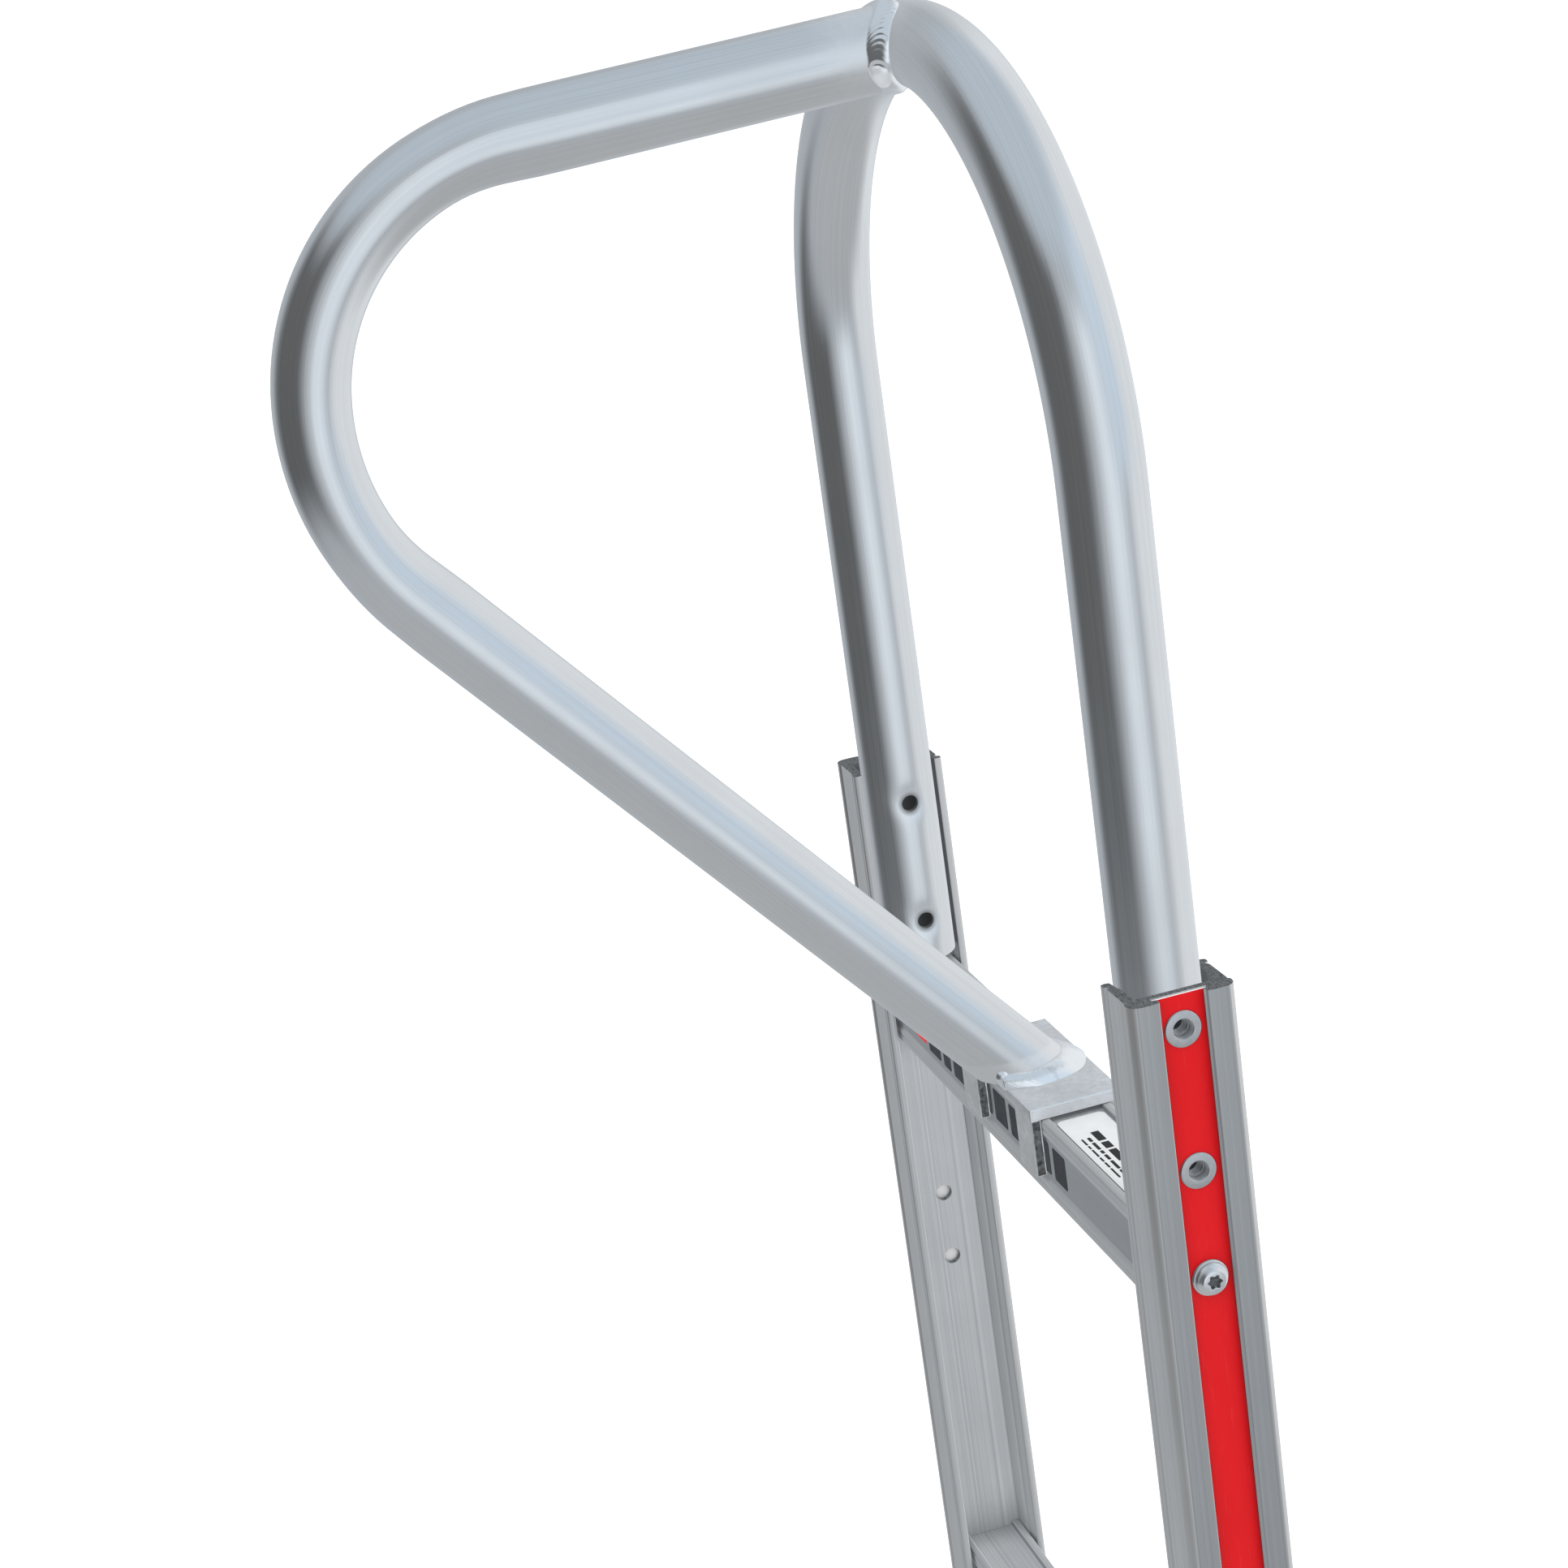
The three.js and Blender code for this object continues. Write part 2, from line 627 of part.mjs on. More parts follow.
// The nose plate's plan outline, as a tall prism.
function noseOutline() {
  const half = NOSE_WIDTH / 2;
  const r = NOSE_CORNER_R;
  const plan = new THREE.Shape();
  plan.moveTo(half, HEEL_BACK + 1);
  plan.lineTo(-half, HEEL_BACK + 1);
  plan.absarc(-half + r, NOSE_FRONT + r, r, Math.PI, 1.5 * Math.PI);
  plan.absarc(half - r, NOSE_FRONT + r, r, 1.5 * Math.PI, 2 * Math.PI);
  const options = { depth: HEEL_HEIGHT + 20, bevelEnabled: false, curveSegments: 5 };
  return solid(new THREE.ExtrudeGeometry(plan, options).translate(0, 0, -10));
}

// A bolt along Y with its nut, head outside the face `from` and nut inside a rail's channel.
function flangeBolt(z, headFace, nutFace) {
  const way = Math.sign(headFace);
  const axis = [FLANGE_BOLT_X, 0, z];
  const headFrom = headFace + way * 0.1;
  const headTo = headFrom + way * BOLT_HEAD_HEIGHT;
  const nutTo = nutFace - way * NUT_HEIGHT;
  const head = bar("y", axis, BOLT_HEAD_R, ...ordered(headFrom, headTo));
  const shank = bar("y", axis, BOLT_R, ...ordered(headTo - way, nutTo - way * BOLT_END), 8);
  const nut = bar("y", axis, NUT_R, ...ordered(nutFace, nutTo), 6);
  return head.add(shank).add(nut);
}

// Axle, brackets and wheels -----------------------------------------------------------------------

// Where a line from a point touches a circle, on the side given by sign.
function tangentPoint(point, centre, radius, sign) {
  const toPoint = point.clone().sub(centre);
  const angle = toPoint.angle() + sign * Math.acos(radius / toPoint.length());
  return new THREE.Vector2(Math.cos(angle), Math.sin(angle)).multiplyScalar(radius).add(centre);
}

// A cast bracket: a plate on the rail's rear flange, a rib behind it, and a boss for the axle.
function axleBracket() {
  const front = BEAD_FACE + GAP;
  const back = front + BRACKET_THICK;
  let body = block([RAIL_TIP + 0.7, front, BRACKET_FROM_Z], [RAIL_OUT, back, BRACKET_TO_Z]);
  const centre = new THREE.Vector2(AXLE_Y, WHEEL_R);
  const upper = new THREE.Vector2(back - 1, BRACKET_TO_Z - 2);
  const lower = new THREE.Vector2(back - 1, BRACKET_FROM_Z + 2);
  const rib = new THREE.Shape([
    upper,
    lower,
    tangentPoint(lower, centre, BOSS_OUTER_R - 0.5, 1),
    tangentPoint(upper, centre, BOSS_OUTER_R - 0.5, -1),
  ]);
  body = body.add(acrossX(rib, RAIL_OUT - RIB_THICK, RAIL_OUT));
  const axis = [0, AXLE_Y, WHEEL_R];
  const bossFrom = RAIL_OUT - BOSS_LENGTH;
  const bossTo = washerX(true) - GAP;
  body = body.add(bar("x", axis, BOSS_OUTER_R, bossFrom, bossTo, 16));
  body = body.subtract(bar("x", axis, AXLE_R + GAP, bossFrom - 5, bossTo + 5, 16));
  for (const z of BRACKET_BOLT_Z) {
    body = body.subtract(bar("y", [FLANGE_BOLT_X, 0, z], BOLT_HOLE_R, front - 5, back + 5));
  }
  return body;
}

function axle() {
  let body = bar("x", [0, AXLE_Y, WHEEL_R], AXLE_R, -AXLE_HALF, AXLE_HALF, 16);
  for (const x of [-COTTER_X, COTTER_X]) {
    const hole = bar("z", [x, AXLE_Y, WHEEL_R], COTTER_HOLE_R, -2 * AXLE_R, 2 * AXLE_R, 8);
    body = body.subtract(hole);
  }
  return body;
}

// A split pin through the axle: a straight shank, a ring at its head and a bent tail.
function cotterPin() {
  const wireR = COTTER_R - 0.1;
  const end = AXLE_R + 4;
  const shank = bar("z", [COTTER_X, AXLE_Y, WHEEL_R], COTTER_R, -end, end, 6);
  const eye = new THREE.TorusGeometry(COTTER_EYE_R, wireR, 5, 8);
  eye.rotateY(Math.PI / 2);
  eye.translate(COTTER_X, AXLE_Y, WHEEL_R + AXLE_R + 6);
  const tail = bar("y", [COTTER_X, AXLE_Y, WHEEL_R - end + 0.6], wireR, -0.5, COTTER_TAIL, 6);
  return shank.add(solid(eye)).add(tail);
}

// Where the washer on the inner or the outer side of a wheel starts.
function washerX(inner) {
  return inner ? WHEEL_X - HUB_HALF - WASHER_THICK - 0.5 : WHEEL_X + HUB_HALF + 0.7;
}

function axleWasher(inner) {
  const profile = [
    [AXLE_R + GAP, 0],
    [WASHER_R, 0],
    [WASHER_R, WASHER_THICK],
    [AXLE_R + GAP, WASHER_THICK],
  ];
  return turned("x", profile, 12).translate([washerX(inner), AXLE_Y, WHEEL_R]);
}

// Half of a wheel's pressed rim, drawn from the wheel's middle plane outwards.
function rimHalf(outer) {
  const sleeveR = BEARING_R + 4;
  const seat = HUB_HALF - BEARING_WIDTH - 0.5;
  const profile = [
    [AXLE_R + 3, 0.2],
    [RIM_BARREL_R, 0.2],
    [RIM_BARREL_R, RIM_BARREL_HALF],
    [RIM_FLANGE_R, RIM_BARREL_HALF + 0.9],
    [RIM_FLANGE_R, RIM_HALF],
    [RIM_BARREL_R - 2.7, RIM_HALF - 1],
    [RIM_BARREL_R - 4.2, RIM_WALL],
    [sleeveR + 2, RIM_WALL],
    [sleeveR, HUB_HALF],
    [BEARING_R + GAP, HUB_HALF],
    [BEARING_R + GAP, seat],
    [AXLE_R + 3, seat],
  ];
  let body = turned("x", profile, WHEEL_SIDES);
  for (let i = 0; i < RIM_BOLTS; i++) {
    body = body.subtract(bar("x", rimBoltAxis(i), BOLT_HOLE_R, -1, 2 * RIM_WALL, 8));
  }
  return outer ? body : body.mirror([1, 0, 0]);
}

function rimBoltAxis(i) {
  const angle = radians(90) + (2 * Math.PI * i) / RIM_BOLTS;
  return [0, RIM_BOLT_CIRCLE_R * Math.cos(angle), RIM_BOLT_CIRCLE_R * Math.sin(angle)];
}

function rimBolt(i) {
  const axis = rimBoltAxis(i);
  const face = RIM_WALL + GAP;
  const nutTo = -face - NUT_HEIGHT;
  const head = bar("x", axis, NUT_R, face, face + BOLT_HEAD_HEIGHT, 6);
  const shank = bar("x", axis, BOLT_R, nutTo - BOLT_END, face + 1, 8);
  const nut = bar("x", axis, NUT_R, nutTo, -face, 6);
  return head.add(shank).add(nut);
}

function bearing(outer) {
  const from = HUB_HALF - BEARING_WIDTH;
  const profile = [
    [AXLE_R + GAP, from],
    [BEARING_R, from],
    [BEARING_R, HUB_HALF - 1],
    [BEARING_R - 3, HUB_HALF - 1],
    [AXLE_R + 4, HUB_HALF + 0.4],
    [AXLE_R + GAP, HUB_HALF + 0.4],
  ];
  const body = turned("x", profile, 16);
  return outer ? body : body.mirror([1, 0, 0]);
}

// The tyre's horseshoe section, open towards the rim.
function tyre() {
  const beadR = RIM_BARREL_R + 0.4;
  const beadHalf = RIM_BARREL_HALF - 0.4;
  const outside = [
    [beadR, beadHalf],
    [RIM_FLANGE_R + 0.6, beadHalf],
    [84, TYRE_HALF],
    [108, 42],
    [WHEEL_R - 3, 28],
    [WHEEL_R, 8],
  ];
  const inside = [
    [beadR, 24],
    [86, 36],
    [116, 20],
  ];
  const across = (points) => points.map(([r, x]) => [r, -x]).reverse();
  const outline = [...outside, ...across(outside), ...inside.map(([r, x]) => [r, -x])];
  return turned("x", [...outline, ...inside.slice().reverse()], WHEEL_SIDES);
}

// A rubber valve that stands on the inside of the rim's barrel and leans outwards.
function valveStem() {
  const profile = [
    [0, 0],
    [4.6, 0],
    [4.6, 3],
    [3, 6],
    [3, VALVE_LENGTH],
    [0, VALVE_LENGTH],
  ];
  return turned("z", profile, 8);
}

function wheel(side) {
  const group = new THREE.Group();
  group.position.set(WHEEL_X, AXLE_Y, WHEEL_R);
  piece(group, `tyre_${side}`, tyre(), RUBBER);
  piece(group, `rim_outer_${side}`, rimHalf(true), CAST);
  piece(group, `rim_inner_${side}`, rimHalf(false), CAST);
  piece(group, `bearing_outer_${side}`, bearing(true), STEEL);
  piece(group, `bearing_inner_${side}`, bearing(false), STEEL);
  for (let i = 0; i < RIM_BOLTS; i++) {
    piece(group, `rim_bolt_${side}_${i + 1}`, rimBolt(i), ZINC);
  }
  const valve = piece(group, `valve_stem_${side}`, valveStem(), RUBBER);
  valve.position.set(VALVE_X, 0, -VALVE_FOOT_R);
  valve.rotation.y = VALVE_LEAN;
  return group;
}

// Assembly ---------------------------------------------------------------------------------------------

// Everything on one side of the truck, drawn for +X. The other side is its mirror image.
function sideGroup(side, sign) {
  const group = new THREE.Group();
  group.scale.x = sign;
  piece(group, `side_rail_${side}`, sideRail(), EXTRUSION);
  piece(group, `rail_strip_${side}`, railStrip(), RED);
  SLEEVE_DROPS.forEach((drop, i) => {
    piece(group, `handle_sleeve_${side}_${i + 1}`, sleeve(RAIL_TOP - drop), ZINC);
  });
  MEMBER_NAMES.forEach((level, i) => {
    piece(group, `member_screw_${side}_${level}`, memberScrew(i), ZINC);
  });
  NOSE_BOLT_Z.forEach((z, i) => {
    const bolt = flangeBolt(z, HEEL_BACK - NOSE_THICK, -FLANGE_NUT_FACE);
    piece(group, `nose_bolt_${side}_${i + 1}`, bolt, ZINC);
  });
  BRACKET_BOLT_Z.forEach((z, i) => {
    const bolt = flangeBolt(z, BEAD_FACE + GAP + BRACKET_THICK, FLANGE_NUT_FACE);
    piece(group, `bracket_bolt_${side}_${i + 1}`, bolt, ZINC);
  });
  piece(group, `axle_bracket_${side}`, axleBracket(), CAST);
  piece(group, `axle_washer_${side}_inner`, axleWasher(true), ZINC);
  piece(group, `axle_washer_${side}_outer`, axleWasher(false), ZINC);
  piece(group, `cotter_pin_${side}`, cotterPin(), ZINC);
  group.add(wheel(side));
  return group;
}

const truck = new THREE.Group();
const braceLine = braceStations();
piece(truck, "loop_handle", loopHandle(), MILL_TUBE);
piece(truck, "grip_brace", gripBrace(braceLine), MILL_TUBE);
piece(truck, "crown_weld", crownWeld(braceLine), WELD);
piece(truck, "foot_weld", footWeld(braceLine), WELD);
piece(truck, "brace_saddle", saddle(), CAST);
MEMBER_NAMES.forEach((level, i) => {
  piece(truck, `cross_member_${level}`, crossMember(i), EXTRUSION);
});
piece(truck, "capacity_label", capacityLabel(), WHITE);
piece(truck, "nose_plate", nosePlate(), CAST);
piece(truck, "axle", axle(), STEEL);
truck.add(sideGroup("left", 1), sideGroup("right", -1));

// The part's origin is on the floor under the middle of its bounding box.
truck.updateMatrixWorld(true);
truck.position.y = -new THREE.Box3().setFromObject(truck, true).getCenter(new THREE.Vector3()).y;

const part = new THREE.Group();
part.add(truck);

export default part;
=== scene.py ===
import math

import bmesh
import bpy
from mathutils import Matrix, Vector
from mathutils.geometry import tessellate_polygon
from mathutils.kdtree import KDTree


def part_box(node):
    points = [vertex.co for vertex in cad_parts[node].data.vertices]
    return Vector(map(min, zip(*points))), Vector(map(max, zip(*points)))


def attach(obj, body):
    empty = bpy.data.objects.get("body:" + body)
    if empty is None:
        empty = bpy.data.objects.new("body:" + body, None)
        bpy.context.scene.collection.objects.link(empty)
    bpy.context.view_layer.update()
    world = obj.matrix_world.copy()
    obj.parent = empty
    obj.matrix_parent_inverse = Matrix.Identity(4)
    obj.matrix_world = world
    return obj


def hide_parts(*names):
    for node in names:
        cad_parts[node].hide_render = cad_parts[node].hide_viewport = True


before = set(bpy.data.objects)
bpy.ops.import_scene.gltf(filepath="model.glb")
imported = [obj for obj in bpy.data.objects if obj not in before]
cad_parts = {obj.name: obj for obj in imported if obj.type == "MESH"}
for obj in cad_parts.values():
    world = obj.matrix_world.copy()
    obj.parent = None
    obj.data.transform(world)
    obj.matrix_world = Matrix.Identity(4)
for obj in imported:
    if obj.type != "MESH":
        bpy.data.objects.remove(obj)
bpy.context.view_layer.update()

# The looks of a two-wheel aluminium hand truck. Lengths are in millimetres, in a space of the
# truck's own: x runs across, y = 0 is the rails' middle plane, the wheels are at +y, and z = 0 is
# the floor. in_frame() turns a point of it into the shared frame, in metres.

MM = 0.001

# Driving dimensions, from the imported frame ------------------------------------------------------

RAIL_LOW, RAIL_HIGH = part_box("side_rail_left")
MIDDLE_Y = (RAIL_LOW.y + RAIL_HIGH.y) / 2
RAIL_TOP = RAIL_HIGH.z / MM
RAIL_BOTTOM = RAIL_LOW.z / MM
RAIL_TIP = RAIL_LOW.x / MM
RAIL_OUT = RAIL_HIGH.x / MM
BEAD_FACE = (RAIL_HIGH.y - MIDDLE_Y) / MM

LOOP_LOW, LOOP_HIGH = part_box("loop_handle")
TUBE_R = (LOOP_HIGH.y - LOOP_LOW.y) / 2 / MM
LOOP_R = LOOP_HIGH.x / MM - TUBE_R
CROWN_Z = LOOP_HIGH.z / MM - TUBE_R
LOOP_FOOT = LOOP_LOW.z / MM
TUBE_WALL = 2.4
GAP = 0.3

SADDLE_LOW, SADDLE_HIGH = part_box("brace_saddle")
SADDLE_TOP = SADDLE_HIGH.z / MM
SADDLE_X = SADDLE_HIGH.x / MM
SADDLE_Y = (SADDLE_HIGH.y - MIDDLE_Y) / MM
CROWN_WELD = (0, 14, CROWN_Z)

TYRE_LOW, TYRE_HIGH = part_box("tyre_left")
WHEEL_R = (TYRE_HIGH.z - TYRE_LOW.z) / 2 / MM
WHEEL_X = (TYRE_HIGH.x + TYRE_LOW.x) / 2 / MM
AXLE_Y = ((TYRE_HIGH.y + TYRE_LOW.y) / 2 - MIDDLE_Y) / MM

# Grip brace: a run back from the crown, a bend in two radii, and a straight run down
GRIP_FALL = math.radians(3.3)
GRIP_RUN = 157.0
GRIP_BENDS = ((91.0, math.radians(77.7)), (100.0, math.radians(49.6)))
GRIP_FLATTEN = 0.09

WEB_IN = LOOP_R + TUBE_R + GAP
WEB_OUT = WEB_IN + 2.9
SLOT_HALF = 11.0
SLOT_MOUTH = 9.0
LIP_BACK = 164.8
STRIP_FROM = WEB_OUT + 0.15
STRIP_TO = STRIP_FROM + 0.7
STRIP_HALF = 10.6

SLEEVE_ZS = [RAIL_TOP - 13.8, RAIL_TOP - 69.8]
ACCESSORY_ZS = [RAIL_TOP - 219.5, RAIL_TOP - 253.0]
LEVELS = ("top", "middle", "lower")
SIDES = (("left", 1), ("right", -1))
NOSE_BOLT_ZS = (26.0, 58.0)
BRACKET_BOLT_ZS = (78.0, 180.0)
FLANGE_BOLT_X = 150.0
CHANNEL_FACE = 15.9  # the flanges' faces in the rail's channel
BRACKET_PLATE = 6.0  # thickness of the axle brackets' plates
HUB_HALF = 32.0
AXLE_R = 7.94
BEARING_R = 17.46
COTTER_X = WHEEL_X + HUB_HALF + 8
RIM_BOLTS = 3
RIM_BOLT_CIRCLE = 34.0  # radius of the circle that they stand on

# Holes, and the dimples pressed into the loop's legs round the tool holes
SLEEVE_HOLE_R = 5.1
SCREW_HOLE_R = 2.9
BOLT_HOLE_R = 3.3
ACCESSORY_HOLE_R = 4.0
TOOL_HOLE_R = 3.7
DIMPLE_DEPTH = 1.5
DIMPLE_REACH = 6.4

# The dark colour of painted shade, for corners and bores.
PAINTED_SHADE_COLOUR = (0.035, 0.036, 0.038, 1.0)


def middle_of(node):
    """The middle of a CAD node, in the truck's own space."""
    low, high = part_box(node)
    centre = (low + high) / 2
    return Vector((centre.x / MM, (centre.y - MIDDLE_Y) / MM, centre.z / MM))


LEVEL_ZS = {level: middle_of(f"cross_member_{level}").z for level in LEVELS}


def in_frame(point):
    x, y, z = point
    return Vector((x * MM, y * MM + MIDDLE_Y, z * MM))


# Mesh helpers -----------------------------------------------------------------------------------


def shade(obj, degrees):
    """Smooth shading with sharp edges above an angle."""
    for polygon in obj.data.polygons:
        polygon.use_smooth = True
    obj.data.set_sharp_from_angle(angle=math.radians(degrees))


def clean(obj):
    """Merges doubled points and turns the faces outwards."""
    mesh = bmesh.new()
    mesh.from_mesh(obj.data)
    bmesh.ops.remove_doubles(mesh, verts=mesh.verts, dist=1e-7)
    bmesh.ops.dissolve_degenerate(mesh, edges=mesh.edges, dist=1e-8)
    bmesh.ops.recalc_face_normals(mesh, faces=mesh.faces)
    mesh.to_mesh(obj.data)
    mesh.free()


def new_object(name, points, faces, sharp=32):
    mesh = bpy.data.meshes.new(name)
    mesh.from_pydata([in_frame(p) for p in points], [], faces)
    obj = bpy.data.objects.new(name, mesh)
    bpy.context.scene.collection.objects.link(obj)
    clean(obj)
    shade(obj, sharp)
    return obj


def skin(rings, closed=False):
    """Points and quads over rings of points. A closed skin joins the last ring to the first."""
    count = len(rings[0])
    spans = len(rings) if closed else len(rings) - 1
    faces = []
    for i in range(spans):
        here = i * count
        there = (i + 1) % len(rings) * count
        for k in range(count):
            after = (k + 1) % count
            faces.append((here + k, here + after, there + after, there + k))
    return [point for ring in rings for point in ring], faces


def about_x(radius, angle, height):
    return (height, radius * math.cos(angle), radius * math.sin(angle))


def about_y(radius, angle, height):
    return (radius * math.sin(angle), height, radius * math.cos(angle))


def about_z(radius, angle, height):
    return (radius * math.cos(angle), radius * math.sin(angle), height)


def turned(name, profile, about, centre, sides=64, closed=False, sharp=32):
    """A profile of (radius, height) turned about an axis through a centre. A radius may be a
    function of the angle, and a radius of 0 closes an end."""
    rings = []
    for radius, height in profile:
        ring = []
        for k in range(sides):
            angle = 2 * math.pi * k / sides
            reach = radius(angle) if callable(radius) else radius
            ring.append(Vector(about(reach, angle, height)) + Vector(centre))
        rings.append(ring)
    return new_object(name, *skin(rings, closed), sharp=sharp)


def hexagon(across):
    """The radius of a hexagon, by angle."""
    return lambda angle: across / 2 / math.cos(angle % (math.pi / 3) - math.pi / 6)


def trimmed(radius, limit):
    return lambda angle: min(radius(angle), limit)


def star(radius, lobe):
    """The radius of a six-lobed star, by angle."""
    return lambda angle: radius + lobe * math.cos(6 * angle)


def rounded(corners, steps=5):
    """A closed outline through corners of (u, v, radius), each turned on an arc."""
    points = []
    for i, (u, v, radius) in enumerate(corners):
        corner = Vector((u, v))
        before = (Vector(corners[i - 1][:2]) - corner).normalized()
        after = (Vector(corners[(i + 1) % len(corners)][:2]) - corner).normalized()
        half = before.angle(after) / 2
        if radius == 0:
            points.append((u, v))
            continue
        centre = corner + (before + after).normalized() * radius / math.sin(half)
        start = corner + before * radius / math.tan(half) - centre
        end = corner + after * radius / math.tan(half) - centre
        sweep = math.atan2(start.cross(end), start.dot(end))
        for k in range(steps + 1):
            arm = start.copy()
            arm.rotate(Matrix.Rotation(sweep * k / steps, 2))
            points.append(tuple(centre + arm))
    return points


def prism(name, outline, start, end, to, holes=(), sharp=32):
    """An outline of (u, v) with holes, drawn out from w = start to w = end. to(u, v, w) places
    a point."""
    loops = [outline, *holes]
    flat = [point for loop in loops for point in loop]
    points = [to(u, v, w) for w in (start, end) for u, v in flat]
    half = len(flat)
    faces = []
    first = 0
    for loop in loops:
        for k in range(len(loop)):
            a = first + k
            b = first + (k + 1) % len(loop)
            faces.append((a, b, b + half, a + half))
        first += len(loop)
    if holes:
        caps = tessellate_polygon([[Vector((u, v, 0)) for u, v in loop] for loop in loops])
    else:
        caps = [tuple(range(half))]
    for cap in caps:
        faces.append(tuple(cap))
        faces.append(tuple(i + half for i in cap))
    return new_object(name, points, faces, sharp)


def along_x(u, v, w):
    return (w, u, v)


def along_y(u, v, w):
    return (u, w, v)


def along_z(u, v, w):
    return (u, v, w)


def across(sign):
    """Places a point along z, on one side of the truck."""
    return lambda u, v, w: (sign * u, v, w)


def block(name, low, high):
    outline = [(low[0], low[1]), (high[0], low[1]), (high[0], high[1]), (low[0], high[1])]
    return prism(name, outline, low[2], high[2], along_z)


def pins(about, centres, radius, start, end, sides=32):
    """Round bars of one size, as one object to cut with."""
    made = []
    for centre in centres:
        profile = [(0, start), (radius, start), (radius, end), (0, end)]
        made.append(turned("pin", profile, about, centre, sides))
    return merged(made)


def merged(objects):
    """Joins objects into the first one, as separate bodies of one mesh."""
    first = objects[0]
    if len(objects) > 1:
        with bpy.context.temp_override(
            active_object=first, object=first, selected_editable_objects=objects
        ):
            bpy.ops.object.join()
    return first


def bake(obj, sharp=32):
    """Applies the modifiers."""
    bpy.context.view_layer.update()
    graph = bpy.context.evaluated_depsgraph_get()
    mesh = bpy.data.meshes.new_from_object(obj.evaluated_get(graph))
    obj.modifiers.clear()
    obj.data = mesh
    shade(obj, sharp)
    return obj


def combined(obj, others, operation="DIFFERENCE", sharp=32):
    """Cuts with other objects, joins them or keeps what is common, and removes them."""
    for other in others:
        modifier = obj.modifiers.new("combine", "BOOLEAN")
        modifier.operation = operation
        modifier.solver = "EXACT"
        modifier.object = other
    bake(obj, sharp)
    for other in others:
        bpy.data.objects.remove(other)
    return obj


def bevelled(obj, width, segments=3, limit=30, sharp=32):
    modifier = obj.modifiers.new("bevel", "BEVEL")
    modifier.width = width * MM
    modifier.segments = segments
    modifier.limit_method = "ANGLE"
    modifier.angle_limit = math.radians(limit)
    return bake(obj, sharp)


def mark(obj, name, test):
    """Stores 1 on the corners of the faces that pass a test, and 0 on the others."""
    values = obj.data.attributes.new(name, "FLOAT", "CORNER")
    for polygon in obj.data.polygons:
        value = 1.0 if test(polygon) else 0.0
        for corner in polygon.loop_indices:
            values.data[corner].value = value


def mark_edges(obj, width):
    """Marks the narrow faces that a bevel leaves."""

    def narrow(polygon):
        points = [obj.data.vertices[i].co for i in polygon.vertices]
        longest = max((a - b).length for a, b in zip(points, points[1:] + points[:1]))
        return polygon.area < longest * width * MM

    mark(obj, "edge", narrow)


def store_flow(obj, flow):
    """Stores, at each point, its place in a tube: two ways across it and one along it."""
    values = obj.data.attributes.new("flow", "FLOAT_VECTOR", "POINT")
    for vertex, value in zip(obj.data.vertices, values.data):
        x, y, z = vertex.co
        value.vector = Vector(flow(x / MM, (y - MIDDLE_Y) / MM, z / MM)) * MM


def mirrored(obj, name):
    """A copy of an object on the other side of the truck."""
    mesh = obj.data.copy()
    mesh.transform(Matrix.Scale(-1, 4, (1, 0, 0)))
    mesh.flip_normals()
    copy = bpy.data.objects.new(name, mesh)
    bpy.context.scene.collection.objects.link(copy)
    return copy


def done(obj, look, slot, body, *nodes):
    """Gives a piece its material, its body, and the CAD nodes it stands for; the slot is not used.
    Pieces
    mirror only the studio, not each other: corners are darkened by painted shade in the materials."""
    obj.data.materials.clear()
    obj.data.materials.append(look)
    obj.visible_glossy = False
    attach(obj, body)
    if nodes:
        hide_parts(*nodes)
    return obj


# Materials --------------------------------------------------------------------------------------


class Wiring:
    """A node tree that is wired up by short calls, most of which return an output socket."""

    def __init__(self, tree):
        self.tree = tree

    def add(self, kind, inputs, **settings):
        node = self.tree.nodes.new("ShaderNode" + kind)
        for key, value in settings.items():
            setattr(node, key, value)
        for key, value in inputs.items():
            self.put(node.inputs[key], value)
        return node

    def put(self, socket, value):
        if isinstance(value, bpy.types.NodeSocket):
            self.tree.links.new(value, socket)
        else:
            socket.default_value = value

    def sum(self, a, b, weight=1.0):
        """a + b * weight"""
        inputs = {0: b, 1: weight, 2: a}
        return self.add("Math", inputs, operation="MULTIPLY_ADD").outputs[0]

    def times(self, a, b):
        return self.add("Math", {0: a, 1: b}, operation="MULTIPLY").outputs[0]

    def mix(self, factor, a, b):
        return self.add("Mix", {0: factor, 6: a, 7: b}, data_type="RGBA").outputs[2]


